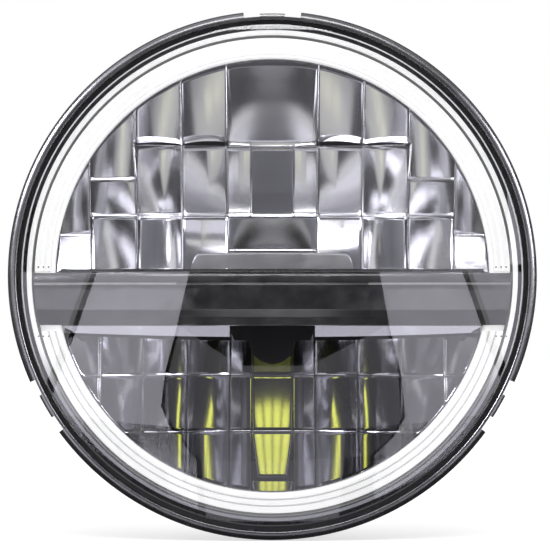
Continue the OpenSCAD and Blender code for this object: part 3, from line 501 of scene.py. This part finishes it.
def cell(shape, sides, levels, face, rise, tilt=0.0, aim=0.0, taper=0.0, arch=0.0):
    """One cell between two uprights and two levels, clipped to the reflector's round. The flute's
    rise goes from the cell's foot to its top, aim turns it sideways, taper narrows its foot and
    arch bows it from foot to top."""
    left, right = sides[0] + CELL_GAP, sides[1] - CELL_GAP
    low, high = levels[0] + CELL_GAP, levels[1] - CELL_GAP
    inner_x = 0 if left * right < 0 else min(abs(left), abs(right))
    inner_z = min(abs(low), abs(high))
    if math.hypot(inner_x, inner_z) > REFLECTOR_R - 1.5:
        return []
    far_x = math.sqrt(REFLECTOR_R ** 2 - inner_z ** 2)
    middle = (left + right) / 2
    half = (right - left) / 2
    grid = bmesh.ops.create_grid(shape, x_segments=16, y_segments=14, size=1)
    for vert in grid["verts"]:
        u, v = vert.co.x, vert.co.y
        x = min(far_x, max(-far_x, middle + u * half))
        far_z = math.sqrt(max(0, REFLECTOR_R ** 2 - x * x))
        z_low = max(low, -far_z)
        z_high = min(high, far_z)
        z = (z_low + z_high) / 2 + v * (z_high - z_low) / 2
        up = (2 * z - low - high) / (high - low)
        across = (x - middle) / half
        height = rise[0] + (rise[1] - rise[0]) * (up + 1) / 2
        y = face(x, z) - height * (1 - across * across) - arch * (1 - up * up) - tilt * up + aim * across
        x = middle + (x - middle) * (1 - taper * (1 - up) / 2)
        vert.co = (x * MM, y * MM, z * MM)
    faces = faces_of(grid["verts"])
    front_rim = [e for f in faces for e in f.edges if e.is_boundary]
    walls = bmesh.ops.extrude_face_region(shape, geom=faces, use_keep_orig=True)
    bmesh.ops.translate(shape, verts=new_verts(walls), vec=(0, CELL_BACK * MM, 0))
    return front_rim


def cells_both_sides(shape, columns, face):
    """Cells in mirrored columns, and their front edges. A column gives its inner and outer side
    and its rows: levels, flute rise at foot and top, tilt, sideways aim and, if it is bowed, arch."""
    edges = []
    for side in (-1, 1):
        for inner, outer, rows in columns:
            for low, high, foot, top, tilt, aim, *arch in rows:
                edges += cell(shape, sorted((side * inner, side * outer)), (low, high), face,
                              (foot, top), tilt, side * aim, arch=sum(arch))
    return edges


def flat(shape, level, face, window, near=2.8):
    """The plated flat that joins a reflector to the bar, with an opening for the LEDs."""
    plate = bmesh.ops.create_grid(shape, x_segments=64, y_segments=24, size=1)
    for vert in plate["verts"]:
        x = vert.co.x * FLAT_HALF
        far = min(face(x, level) + 0.6, 60)
        y = near + (vert.co.y + 1) / 2 * max(0.1, far - near)
        vert.co = (x * MM, y * MM, level * MM)
    faces = faces_of(plate["verts"])
    opened = []
    for f in faces:
        place = f.calc_center_median() / MM
        if abs(place.x) < window[0] and window[1] < place.y < window[2]:
            opened.append(f)
    kept = [f for f in faces if f not in opened]
    bmesh.ops.delete(shape, geom=opened, context="FACES")
    lifted = bmesh.ops.extrude_face_region(shape, geom=kept, use_keep_orig=True)
    bmesh.ops.translate(shape, verts=new_verts(lifted), vec=(0, 0, FLAT_THICKNESS * MM))


UPPER_COLUMNS = (
    (COLUMN, 2 * COLUMN, ((UPPER_EDGE, UPPER_ROW, 0.6, 0.6, 0.25, 0, -0.325),
                          (UPPER_ROW, UPPER_NEXT, 0.8, 1.2, 1.6, 0.8),
                          (UPPER_NEXT, RIM_LEVEL, 0.35, 0.35, 1.8, 0.3))),
    (2 * COLUMN, 3 * COLUMN, ((UPPER_EDGE, UPPER_ROW, 1.4, 1.4, -0.4, 0),
                              (UPPER_ROW, UPPER_NEXT, 1.2, 1.2, 1.6, 0),
                              (UPPER_NEXT, RIM_LEVEL, 0.6, 0.6, 1.5, 0))),
    (3 * COLUMN, 4 * COLUMN, ((UPPER_EDGE, UPPER_ROW, 0.7, 0.7, 1.0, 0.3),
                              (UPPER_ROW, 32.5, 0.9, 0.9, 0.7, 0.6),
                              (32.5, RIM_LEVEL, 0.9, 0.9, 1.2, 0))),
    (4 * COLUMN, RIM_LEVEL, ((UPPER_EDGE, 14, 0.3, 0.3, 0.6, 3.0),
                             (14, RIM_LEVEL, 0.5, 0.5, 0.4, 0.6))),
    (HALF_COLUMN, COLUMN, ((UPPER_ROW, UPPER_NEXT, 0.3, 0.3, 1.4, 0.5),)),
)
middle_column = (-COLUMN, COLUMN)
upper_shape = bmesh.new()
rims = cells_both_sides(upper_shape, UPPER_COLUMNS, upper_face)
rims += cell(upper_shape, middle_column, (8.6, UPPER_ROW), upper_face, (1.0, 1.6), -0.22, arch=0.05)
rims += cell(upper_shape, middle_column, (UPPER_EDGE, 8.6), upper_face, (0.5, 0.5), 0.3)
rims += cell(upper_shape, (-HALF_COLUMN, HALF_COLUMN), (UPPER_ROW, UPPER_NEXT), upper_face,
             (0.1, 0.1), -1.0)
rims += cell(upper_shape, middle_column, (UPPER_NEXT, RIM_LEVEL), upper_face, (2.0, -0.5), 0.35)
round_off(upper_shape, list(dict.fromkeys(rims)), CELL_ROUND, 2)
flat(upper_shape, UPPER_EDGE, upper_face, LED_WINDOW)
piece("upper_mirror", upper_shape, plating, ["upper_reflector"])

# Lower reflector
# The same moulding for the high beam, with narrower cells. It has a bright lip that comes
# forward under the bar and is open in the middle for the LED holder, and a rib at each side.
# Its plating is a darker copy of the upper one's, as painted shade, while the ribs keep the
# brighter plating. The lip's foot is painted black as a painted shadow line.
LOWER_EDGE = -18.7
LOWER_ROW = -34.3
LOWER_NEXT = -53.3
LOWER_COLUMN = 14.6
LOWER_HALF = 7.2
RIB = 4 * LOWER_COLUMN
LIP_HALF = 72.4
LIP_TOP = -17.0
LIP_FOOT = LOWER_EDGE - 1.2
LIP_BOW = 2.2
LIP_FRONT = 2.9
LIP_LEAN = 0.27
LIP_BACK = 1.2
HOLDER_OPENING = 15
HOLDER_WINDOW = (15.1, 0, 19)

# Painted shade: a black band for the shadow under the lip's foot, and a darker copy of the plating for
# the whole lower reflector.
lip_painted_shadow = finish("lip_painted_shadow", (0.008, 0.008, 0.009), roughness=0.6, grain=0, specular=0.1)
lower_plating_painted_shade = finish("lower_plating_painted_shade", (0.54, 0.54, 0.56), metallic=1.0, roughness=0.1, grain=0.004,
                       grain_size=5, rough_swing=0.02, shade_swing=0.03)


def lower_face(x, z):
    """The depth of the lower bowl."""
    return 35 - x * x / 145.6 - (z - LOWER_EDGE) ** 2 / 80


def lip_foot(across):
    """The level of the lip's bowed foot, from -1 at its left end to 1 at its right."""
    return LIP_FOOT - LIP_BOW * (1 - across * across)


LOWER_COLUMNS = (
    (LOWER_HALF, LOWER_COLUMN, ((LOWER_ROW, LOWER_EDGE, 0.2, 0.2, 0.3, 1.0),
                                (LOWER_NEXT, LOWER_ROW, 0.2, 0.2, -0.2, 1.0),
                                (-RIM_LEVEL, LOWER_NEXT, 0.2, 0.2, 0, 1.0))),
    (LOWER_COLUMN, 2 * LOWER_COLUMN, ((LOWER_ROW, LOWER_EDGE, 1.6, 1.6, 0.5, 0),
                                      (LOWER_NEXT, LOWER_ROW, 1.2, 2.0, 0, -1.6, -0.3),
                                      (-RIM_LEVEL, LOWER_NEXT, 1.6, 1.3, -0.4, -1.6))),
    (2 * LOWER_COLUMN, 3 * LOWER_COLUMN, ((LOWER_ROW, LOWER_EDGE, 1.6, 1.6, 0.5, 0),
                                          (LOWER_NEXT, LOWER_ROW, 2.2, 2.2, 0.3, 0.55, -0.25),
                                          (-RIM_LEVEL, LOWER_NEXT, 2.2, 2.2, 0.4, 0.55))),
    (3 * LOWER_COLUMN, RIB, ((LOWER_ROW, LOWER_EDGE, 0.9, 0.9, -0.3, 0),
                             (LOWER_NEXT, LOWER_ROW, 1.0, 1.0, -0.3, 0))),
    (RIB, RIM_LEVEL, ((LOWER_ROW, LOWER_EDGE, 0.4, 0.4, -0.2, 0),
                      (LOWER_NEXT, LOWER_ROW, 0.4, 0.4, 0, 0))),
)
middle_column = (-LOWER_HALF, LOWER_HALF)
lower_shape = bmesh.new()
rims = cells_both_sides(lower_shape, LOWER_COLUMNS, lower_face)
rims += cell(lower_shape, middle_column, (LOWER_ROW, LOWER_EDGE), lower_face, (0.1, 0.1), 0.1)
rims += cell(lower_shape, middle_column, (LOWER_NEXT, LOWER_ROW), lower_face, (0.3, 0.1), 0.08,
             arch=-0.26, taper=0.06)
rims += cell(lower_shape, middle_column, (-68.4, LOWER_NEXT), lower_face, (0.42, 0.2), -0.33,
             arch=-0.06, taper=0.3)
rims += cell(lower_shape, middle_column, (-RIM_LEVEL, -69.4), lower_face, (0.42, 0.42), -0.14, taper=0.1)
round_off(lower_shape, list(dict.fromkeys(rims)), CELL_ROUND, 2)
for side in (-1, 1):
    cell(lower_shape, sorted((side * (RIB - 0.55), side * (RIB + 0.45))), (-46.5, -20), lower_face,
         (1.1, 1.1))
flat(lower_shape, LOWER_EDGE - FLAT_THICKNESS, lower_face, HOLDER_WINDOW, 4.6)
lip = bmesh.ops.create_grid(lower_shape, x_segments=60, y_segments=4, size=1)
for vert in lip["verts"]:
    across = vert.co.x
    height = LIP_TOP - lip_foot(across)
    z = lip_foot(across) + (vert.co.y + 1) / 2 * height
    y = LIP_FRONT + (1 - vert.co.y) / 2 * LIP_LEAN * height
    vert.co = (across * LIP_HALF * MM, y * MM, z * MM)
lip_faces = faces_of(lip["verts"])
for f in [f for f in lip_faces if abs(f.calc_center_median().x) < HOLDER_OPENING * MM]:
    lip_faces.remove(f)
    bmesh.ops.delete(lower_shape, geom=[f], context="FACES")
rear = bmesh.ops.extrude_face_region(lower_shape, geom=lip_faces, use_keep_orig=True)
bmesh.ops.translate(lower_shape, verts=new_verts(rear), vec=(0, LIP_BACK * MM, 0))
lower_mirror = piece("lower_mirror", lower_shape, lower_plating_painted_shade, ["lower_reflector"])
lower_mirror.data.materials.append(lip_painted_shadow)
lower_mirror.data.materials.append(plating)
# The lip's foot takes the painted shadow, and the ribs take the upper reflector's brighter plating.
for face in lower_mirror.data.polygons:
    foot = lip_foot(face.center.x / (LIP_HALF * MM))
    if face.center.y < 4.55 * MM and foot - 1 < face.center.z / MM < foot + 0.8:
        face.material_index = 1
    if abs(abs(face.center.x) / MM - RIB + 0.05) < 0.5:
        face.material_index = 2

# LED shelf, boards and LEDs
# The shelf is machined aluminium. A board with its row of LEDs sits on a thermal pad on each
# side of it, a satin cover hides the low beam's LEDs and a black holder the high beam's.
COVER_HALF = 24.2
COVER_FRONT = 2.8
COVER_DEPTH = 3.2
COVER_ROUND = 0.7


def eased(name, node, material, radius, segments=2, sharp=35):
    """A copy of a CAD node with its sharp edges rounded by a radius in millimetres."""
    shape = bmesh.new()
    shape.from_mesh(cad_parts[node].data)
    bmesh.ops.remove_doubles(shape, verts=shape.verts, dist=2e-6)
    bmesh.ops.dissolve_limit(shape, angle_limit=math.radians(0.5), verts=shape.verts, edges=shape.edges)
    if radius:
        corners = [e for e in shape.edges if e.calc_face_angle(0) > math.radians(25)]
        bmesh.ops.bevel(shape, geom=corners, offset=radius * MM, segments=segments, profile=0.5,
                        affect="EDGES", material=-1, clamp_overlap=True)
    made = piece(name, shape, material, [node], sharp)
    even = made.modifiers.new("even_faces", "WEIGHTED_NORMAL")
    even.keep_sharp = True


shelf_metal = finish("machined_aluminium", (0.6, 0.6, 0.62), metallic=1, roughness=0.35, grain=0.015,
                     grain_size=0.8, shade_swing=0.04)
eased("led_shelf_bar", "led_shelf", shelf_metal, 0.4)
board_dark = finish("dark_board", (0.06, 0.06, 0.065), roughness=0.4, coat=0.2)
board_white = finish("white_board", (0.8, 0.8, 0.78), roughness=0.4, coat=0.2, shade_swing=0.03)
eased("low_led_board", "low_beam_board", board_white, 0.1, 1)
eased("high_led_board", "high_beam_board", board_dark, 0.1, 1)
# Painted light: the LEDs' yellow phosphor is given a glow, strong on the high beam's row and faint on the
# low beam's and the halo's, so that it shows bright in the plating.
phosphor_painted_glow = finish("phosphor_painted_glow", (0.78, 0.8, 0.12), roughness=0.5, grain=0.02, shade_size=1.5,
                  shade_swing=0.12)
glow(phosphor_painted_glow, (0.82, 0.86, 0.14), 2.0)
eased("high_led_row", "high_beam_leds", phosphor_painted_glow, 0.15)
pale_phosphor_painted_glow = finish("pale_phosphor_painted_glow", (0.8, 0.8, 0.66), roughness=0.4, shade_size=1.5)
glow(pale_phosphor_painted_glow, (0.9, 0.9, 0.8), 0.3)
eased("low_led_row", "low_beam_leds", pale_phosphor_painted_glow, 0.15)
eased("halo_led_row", "halo_leds", pale_phosphor_painted_glow, 0.08, 1)
matte_black = finish("matte_black", (0.008, 0.008, 0.009), roughness=0.55, grain=0.03, grain_size=0.5,
                     specular=0.2)
eased("led_holder", "high_beam_holder", matte_black, 0.5, 3)
satin_grey = finish("satin_grey", (0.36, 0.36, 0.37), metallic=0.5, roughness=0.4, grain=0.35,
                    grain_size=9, rough_swing=0.12, shade_swing=0.25, shade_size=7)

# The cover's outline: a flared foot and a round shoulder at each end, and a slightly crowned top
cover_side = [(27.5, 2.4)]
for step in range(9):
    way = math.radians(10 + 10 * step)
    cover_side.append((COVER_HALF + 2.6 * math.cos(way), 5.1 + 2.4 * math.sin(way)))
cover_top = []
for step in range(11):
    x = 20.5 - 4.1 * step
    cover_top.append((x, 7.55 + 0.35 * (1 - (x / COVER_HALF) ** 2)))
cover_outline = cover_side + cover_top + [(-x, z) for x, z in cover_side[::-1]]
cover = bmesh.new()
ring = [cover.verts.new((x * MM, COVER_FRONT * MM, z * MM)) for x, z in cover_outline]
grown = bmesh.ops.extrude_face_region(cover, geom=[cover.faces.new(ring)], use_keep_orig=True)
bmesh.ops.translate(cover, verts=new_verts(grown), vec=(0, COVER_DEPTH * MM, 0))
front_edges = []
for edge in cover.edges:
    if all(v.co.y < (COVER_FRONT + 0.1) * MM and v.co.z > 2.5 * MM for v in edge.verts):
        front_edges.append(edge)
round_off(cover, front_edges, COVER_ROUND, 4)
piece("led_cover", cover, satin_grey, ["low_beam_cover"])
pad = finish("thermal_pad", (0.3, 0.5, 0.6), roughness=0.75, grain=0.05, grain_size=0.5)
eased("pads", "thermal_pads", pad, 0.1, 1)

# Fixings
# Steel socket screws hold the shelf, the reflectors, the driver board and the rear cover. They
# keep their CAD shape, with the edges of their heads and sockets rounded.
steel = finish("steel", (0.62, 0.62, 0.63), metallic=1, roughness=0.28, grain=0.01, grain_size=0.7,
               shade_swing=0.08, shade_size=2)
for screws in ("shelf_screws", "reflector_screws", "driver_board_screws", "rear_cover_screws"):
    eased(screws + "_steel", screws, steel, 0.2)

# Driver electronics
# The driver board sits on stand-offs in the chamber. Wound inductors, can capacitors and chips
# stand on it, and two pairs of leads run through the bowl's base to the LED boards.
board_green = finish("board_green", (0.02, 0.13, 0.05), roughness=0.4, coat=0.5, shade_size=2,
                     shade_swing=0.18)
eased("driver_board_panel", "driver_board", board_green, 0.1, 1)
eased("halo_board_arcs", "halo_boards", board_white, 0.1, 1)
lead_red = finish("lead_red", (0.4, 0.03, 0.03), roughness=0.45, grain=0.02, grain_size=0.5)
eased("low_leads", "low_beam_leads", lead_red, 0)
eased("high_leads", "high_beam_leads", lead_red, 0)
ferrite = finish("ferrite", (0.045, 0.045, 0.05), roughness=0.45, grain=0.06, grain_size=0.6)
eased("inductors", "driver_inductors", ferrite, 0.4)
chip_black = finish("chip_black", (0.02, 0.02, 0.022), roughness=0.5, grain=0.02, grain_size=0.2)
eased("chips", "driver_chips", chip_black, 0.15)
can = finish("can", (0.7, 0.7, 0.72), metallic=1, roughness=0.25, grain=0.005, shade_size=3)
eased("capacitors", "driver_capacitors", can, 0.3)

# Rear cover
# A black-painted aluminium disc closes the driver chamber on a rubber gasket. A small plug-in
# breather sits above the socket.
BREATHER_Z = 28
BREATHER_OUTLINE = [(0, 63.5), (3, 63.5), (3, 66.5), (5, 66.5), (5, 67.6), (4.5, 68.1), (2.6, 68.1),
                    (2.3, 67.7), (1.7, 67.7), (1.4, 68.1), (0, 68.1)]

cover_black = finish("cover_black", (0.11, 0.11, 0.115), metallic=0.6, roughness=0.38, grain=0.03,
                     grain_size=0.4, rough_swing=0.1, shade_swing=0.15, shade_size=11)
eased("rear_plate", "rear_cover", cover_black, 0.4, 3)
eased("rear_gasket", "rear_cover_gasket", rubber, 0.1, 1)
vent_shape = bmesh.new()
turn(vent_shape, BREATHER_OUTLINE, 48)
bmesh.ops.translate(vent_shape, verts=vent_shape.verts, vec=(0, 0, BREATHER_Z * MM))
piece("breather", vent_shape, matte_black, ["breather_vent"])

# Connector
# The socket is moulded in glass-filled nylon around three flat brass blades. Its flange is
# screwless: it clips into the rear cover on a rubber ring.
eased("socket_seal", "connector_seal", rubber, 0.15, 1)
nylon = finish("nylon", (0.018, 0.018, 0.019), roughness=0.42, grain=0.05, grain_size=0.6,
               rough_swing=0.12)
eased("socket", "connector_socket", nylon, 0.4, 3)
brass = finish("brass", (0.78, 0.56, 0.24), metallic=1, roughness=0.3, grain=0.01, shade_size=3,
               shade_swing=0.1)
eased("blades", "connector_blades", brass, 0.18)

# Lens
# One clear polycarbonate dome with a thin skirt that sits in the rim's groove. Only its front
# side reflects. The bend into the skirt is painted grey as a thin painted highlight above the
# bar, fading dark below it as painted shade.
LENS_R = 84.4
DOME_IN_R = 289.2
BEAD_FRONT = -3.6
BEND_R = (83.75, 84.2)
LENS_RINGS = 26

clear = bpy.data.materials.new("clear_lens")
clear.use_nodes = True
nodes = clear.node_tree.nodes
links = clear.node_tree.links
nodes.remove(nodes["Principled BSDF"])
see = nodes.new("ShaderNodeBsdfTransparent")
see.inputs["Color"].default_value = (0.985, 0.985, 0.985, 1)
shine = nodes.new("ShaderNodeBsdfGlossy")
shine.inputs["Roughness"].default_value = 0.02
angle = nodes.new("ShaderNodeFresnel")
angle.inputs["IOR"].default_value = 1.58
facing = nodes.new("ShaderNodeNewGeometry")
front = nodes.new("ShaderNodeMapRange")
front.inputs["To Min"].default_value = 1.9
front.inputs["To Max"].default_value = 0
links.new(facing.outputs["Backfacing"], front.inputs["Value"])
strength = nodes.new("ShaderNodeMath")
strength.operation = "MULTIPLY"
strength.use_clamp = True
links.new(angle.outputs["Fac"], strength.inputs[0])
links.new(front.outputs["Result"], strength.inputs[1])
both = nodes.new("ShaderNodeMixShader")
links.new(strength.outputs["Value"], both.inputs["Fac"])
links.new(see.outputs["BSDF"], both.inputs[1])
links.new(shine.outputs["BSDF"], both.inputs[2])
links.new(both.outputs["Shader"], nodes["Material Output"].inputs["Surface"])

lens_shape = bmesh.new()
outer = []
for step in range(LENS_RINGS):
    r = LENS_R * step / LENS_RINGS
    outer.append((r, dome_depth(DOME_R, r)))
outer += [(r, dome_depth(DOME_R, r)) for r in (*BEND_R, LENS_R)]
inner = []
for step in range(LENS_RINGS, -1, -1):
    r = POCKET_R * step / LENS_RINGS
    inner.append((r, dome_depth(DOME_IN_R, r)))
turn(lens_shape, outer + [(LENS_R, BEAD_FRONT), (POCKET_R, BEAD_FRONT)] + inner, 200)
dome = piece("clear_dome", lens_shape, clear, ["lens"], sharp=40)
# Painted highlight: an opaque grey ring on the bend, darkening below the bar as painted shade.
lens_edge_painted_highlight = finish("lens_edge_painted_highlight", (0.6, 0.6, 0.62), roughness=0.3, grain=0)
fade_out(lens_edge_painted_highlight, "Z", *PAINTED_SHADE_BELOW_BAR, (0.07, 0.07, 0.075))
dome.data.materials.append(lens_edge_painted_highlight)
for face in dome.data.polygons:
    out = math.hypot(face.center.x, face.center.z) / MM
    if BEND_R[0] < out < BEND_R[1] and face.center.y < -8 * MM and face.normal.y < -0.5:
        face.material_index = 1

# Studio
# A white room and floor, one soft lamp overhead, and cards in front that only the plating, the
# paint and the lens reflect: two tall soft boxes, a pale table, dark walls and a banded ceiling.
# Those that show on the lens are placed by where their reflection falls on it.
CAMERA_REACH = 1.4
CARD_REACH = 1.5
FLOOR_Z = -0.0892

studio = bpy.data.worlds.new("studio")
bpy.context.scene.world = studio
studio.use_nodes = True
nodes = studio.node_tree.nodes
links = studio.node_tree.links
lit = nodes["Background"]
lit.inputs["Color"].default_value = (1, 1, 1, 1)
lit.inputs["Strength"].default_value = 0.7
white = nodes.new("ShaderNodeBackground")
white.inputs["Color"].default_value = (1, 1, 1, 1)
white.inputs["Strength"].default_value = 1
rays = nodes.new("ShaderNodeLightPath")
seen = nodes.new("ShaderNodeMath")
seen.operation = "MAXIMUM"
links.new(rays.outputs["Is Camera Ray"], seen.inputs[0])
links.new(rays.outputs["Is Glossy Ray"], seen.inputs[1])
seen_too = nodes.new("ShaderNodeMath")
seen_too.operation = "MAXIMUM"
links.new(seen.outputs["Value"], seen_too.inputs[0])
links.new(rays.outputs["Is Transmission Ray"], seen_too.inputs[1])
mix = nodes.new("ShaderNodeMixShader")
links.new(seen_too.outputs["Value"], mix.inputs["Fac"])
links.new(lit.outputs["Background"], mix.inputs[1])
links.new(white.outputs["Background"], mix.inputs[2])
links.new(mix.outputs["Shader"], nodes["World Output"].inputs["Surface"])


def seen_on_lens(x, z):
    """Where a card stands that shows on the lens at a place in millimetres from the axis."""
    spot = Vector((x * MM, dome_depth(DOME_R, math.hypot(x, z)) * MM, z * MM))
    upright = (spot - Vector((0, DOME_Y * MM, 0))).normalized()
    way = (spot - Vector((0, -CAMERA_REACH, 0))).normalized().reflect(upright)
    return spot + way * (CARD_REACH + spot.y) / -way.y


def seen_at(across, up):
    """The same for a direction in degrees across and up from straight ahead."""
    x = CARD_REACH * math.tan(math.radians(across))
    z = CARD_REACH * math.tan(math.radians(up))
    return (x, -CARD_REACH, z)


def set_up(name, shape, strength):
    """Makes a glowing card or screen that only reflections show."""
    mesh = bpy.data.meshes.new(name)
    shape.to_mesh(mesh)
    shape.free()
    glowing = bpy.data.materials.new(name)
    glowing.use_nodes = True
    nodes = glowing.node_tree.nodes
    nodes.remove(nodes["Principled BSDF"])
    shine = nodes.new("ShaderNodeEmission")
    shine.inputs["Strength"].default_value = strength
    shine.inputs["Color"].default_value = (0.97, 0.955, 1.07, 1)
    glowing.node_tree.links.new(shine.outputs["Emission"], nodes["Material Output"].inputs["Surface"])
    mesh.materials.append(glowing)
    made = bpy.data.objects.new(name, mesh)
    bpy.context.scene.collection.objects.link(made)
    made.visible_camera = False
    made.visible_diffuse = False
    made.visible_shadow = False


def card(name, corners, strength):
    """A flat card with its corners in metres."""
    shape = bmesh.new()
    shape.faces.new([shape.verts.new(corner) for corner in corners])
    set_up(name, shape, strength)


def lens_card(name, corners, strength, nearer=0.0):
    """A card that shows on the lens at these places in millimetres."""
    card(name, [seen_on_lens(x, z) + Vector((0, nearer, 0)) for x, z in corners], strength)


def level_card(name, across, along, height, strength):
    """A card that lies level, between two places across and two along the depth, in metres."""
    left, right = across
    near, far = along
    card(name, [(left, near, height), (right, near, height), (right, far, height), (left, far, height)],
         strength)


def band(name, across, up, strength):
    """A card that fills a range of directions across and up, in degrees."""
    left, right = across
    low, high = up
    corners = [seen_at(left, low), seen_at(right, low), seen_at(right, high), seen_at(left, high)]
    card(name, corners, strength)


def moved(line, x):
    """The same line shifted sideways."""
    return [(at[0] + x, at[1]) for at in line]


LEFT_INNER = [(-27.7, 1.2), (-31.7, -16.3), (-35.9, -32.7), (-37.2, -43.8), (-34.5, -50.2),
              (-25.3, -61.7)]
RIGHT_INNER = [(35.6, 1.2), (38.8, -16.3), (42.9, -32.7), (44.3, -47.5), (40.6, -53.9), (34, -60)]
LEFT_OUTER = [(-60.3, 1.2), (-67.3, -18), (-77, -45)]
RIGHT_OUTER = [(65.1, 1.2), (72, -18), (81, -45)]
TABLE_EDGE = [(12, -30), (-11, -30)]
BEFORE = 0.002
lens_card("soft_box_left", LEFT_INNER + [(-25, -78), (-40, -72)] + moved(LEFT_OUTER, 1.6)[::-1], 2.6)
lens_card("soft_box_right", RIGHT_INNER + [(34, -75), (46, -69)] + moved(RIGHT_OUTER, -1.6)[::-1], 2.3)
lens_card("frame_left", LEFT_OUTER + moved(LEFT_OUTER, 1.8)[::-1], 0, BEFORE)
lens_card("frame_right", RIGHT_OUTER + moved(RIGHT_OUTER, -1.8)[::-1], 0, BEFORE)
lens_card("inner_frame_left", LEFT_INNER + moved(LEFT_INNER, 1.1)[::-1], 0, BEFORE)
lens_card("inner_frame_right", RIGHT_INNER + moved(RIGHT_INNER, -1.1)[::-1], 0, BEFORE)
lens_card("dark_middle", LEFT_INNER[:2] + TABLE_EDGE[::-1] + RIGHT_INNER[1::-1], 0.02)
lens_card("table", LEFT_INNER[1:] + RIGHT_INNER[:0:-1] + TABLE_EDGE, 0.6)
lens_card("outer_left", moved(LEFT_OUTER, -1.6) + [(-84, -45), (-84, 1.2)], 1.8)
lens_card("outer_right", moved(RIGHT_OUTER, 1.6) + [(84, -45), (84, 1.2)], 1.8)
lens_card("dark_wall", [(-84, 1.2), (84, 1.2), (80, 24), (-80, 24)], 0.06)
lens_card("upper_wall", [(-80, 24), (80, 24), (60, 75), (-60, 75)], 0.25)

# Above the lamp and to its sides, with the left a little brighter than the right. The bands give
# their range up in degrees, the overhead cards their range in depth.
CEILING = ((31, 38, 0.3), (38, 52, 1.15), (52, 60, 0.35), (60, 66, 0.5), (66, 74, 0.75))
OVERHEAD = ((-0.9, -0.5, 0.8), (-0.5, -0.2, 0.85), (-0.2, 0.9, 0.85))
CEILING_Z = 3
for side, share in ((-1, 1.3), (1, 0.9)):
    for low, high, strength in CEILING:
        band("ceiling", (0, side * 60), (low, high), strength * share)
    for near, far, strength in OVERHEAD:
        level_card("overhead_card", (0, side * 2), (near, far), CEILING_Z, strength * share)
    level_card("far_side", (side * 2, side * 9), (-1.5, 0.9), CEILING_Z, 0.4 * share ** 2)
    curtain_x = side * 2.7
    card("curtain", [(curtain_x, -1.5, -1), (curtain_x, 0.9, -1), (curtain_x, 0.9, 1.5),
                     (curtain_x, -1.5, 1.5)], 0.18)

# Below the lamp, and all round its back
band("bench", (-12, 12), (-24, -38), 0.98)
for side in (-1, 1):
    band("beside_bench", (side * 12, side * 60), (-24, -38), 0.1)
band("below", (-60, 60), (-38, -80), 0.04)
level_card("dark_floor", (-6, 6), (-6, 2), -1.2, 0.04)
surround = bmesh.new()
drum(surround, 0, 0, 600, 200, 1400, 64)
bmesh.ops.delete(surround, geom=[f for f in surround.faces if len(f.verts) > 4], context="FACES")
set_up("dark_surround", surround, 0.08)

# The bright cards that the rim's paint reflects, and the grey walls behind them
RIM_CARD_Y = (-1.1, -0.46)
RIM_CARDS = (("rim_light_left", -1.5, 0.5, -1.3, 1.1, 40), ("rim_light_right", 1.5, 0.1, 1.4, 0.9, 18))
for name, low_x, low_z, high_x, high_z, strength in RIM_CARDS:
    near, far = RIM_CARD_Y
    card(name, [(low_x, near, low_z), (low_x, far, low_z), (high_x, far, high_z), (high_x, near, high_z)],
         strength)
FRONT_CARDS = (("rim_light_upper", ((-1.05, 0.55), (-1.9, 0.75), (-1.9, 1.5), (-1.05, 1.1)), 6),
               ("rim_light_side", ((1.05, 0.05), (1.9, 0.05), (1.9, 0.8), (1.05, 0.55)), 2.5))
for name, corners, strength in FRONT_CARDS:
    card(name, [(x, -1.4, z) for x, z in corners], strength)
for side in (-1, 1):
    wall = [(-0.46, -0.3), (0.5, -0.3), (0.5, 1.4), (-0.46, 1.4)]
    card("side_wall", [(side * 1.55, y, z) for y, z in wall], 0.15)

# The floor is pale, and white to the camera but for the lamp's shadow
floor_shape = bmesh.new()
bmesh.ops.create_grid(floor_shape, x_segments=1, y_segments=1, size=3)
bmesh.ops.translate(floor_shape, verts=floor_shape.verts, vec=(0, 0, FLOOR_Z))
floor_mesh = bpy.data.meshes.new("floor")
floor_shape.to_mesh(floor_mesh)
floor_shape.free()
floor = bpy.data.objects.new("floor", floor_mesh)
bpy.context.scene.collection.objects.link(floor)
pale = bpy.data.materials.new("pale_floor")
pale.use_nodes = True
nodes = pale.node_tree.nodes
links = pale.node_tree.links
shader = nodes["Principled BSDF"]
shader.inputs["Base Color"].default_value = (0.6, 0.6, 0.6, 1)
shader.inputs["Roughness"].default_value = 0.9
shader.inputs["Emission Color"].default_value = (1, 1, 1, 1)
rays = nodes.new("ShaderNodeLightPath")
lift = nodes.new("ShaderNodeMath")
lift.operation = "MULTIPLY"
lift.inputs[1].default_value = 0.65
links.new(rays.outputs["Is Camera Ray"], lift.inputs[0])
links.new(lift.outputs["Value"], shader.inputs["Emission Strength"])
floor_mesh.materials.append(pale)
floor.visible_glossy = False

light = bpy.data.lights.new("overhead", "AREA")
light.shape = "RECTANGLE"
light.size = 1.0
light.size_y = 0.34
light.energy = 8
lamp = bpy.data.objects.new("overhead", light)
bpy.context.scene.collection.objects.link(lamp)
lamp.location = (0, -1.06, 1.06)
lamp.rotation_euler = lamp.location.to_track_quat("Z", "Y").to_euler()

# Camera
# Straight in front of the lamp, far enough back that the sides of the rim barely show. Its lens
# fits the picture's side to its width at the lamp's front.
SENSOR = 36
FRONT_DEPTH = 0.008
MM_PER_PIXEL = 0.3361
PICTURE_SIDE = 550
OFF_CENTRE = (2.68, 0.63)

camera_data = bpy.data.cameras.new("camera")
camera_data.sensor_width = SENSOR
camera_data.lens = SENSOR * (CAMERA_REACH - FRONT_DEPTH) / (PICTURE_SIDE * MM_PER_PIXEL * MM)
camera = bpy.data.objects.new("camera", camera_data)
bpy.context.scene.collection.objects.link(camera)
off_x, off_z = [pixels * MM_PER_PIXEL * MM for pixels in OFF_CENTRE]
camera.location = (off_x, -CAMERA_REACH, off_z)
camera.rotation_euler = (math.pi / 2, 0, 0)
bpy.context.scene.camera = camera
bpy.context.scene.view_settings.view_transform = "Standard"
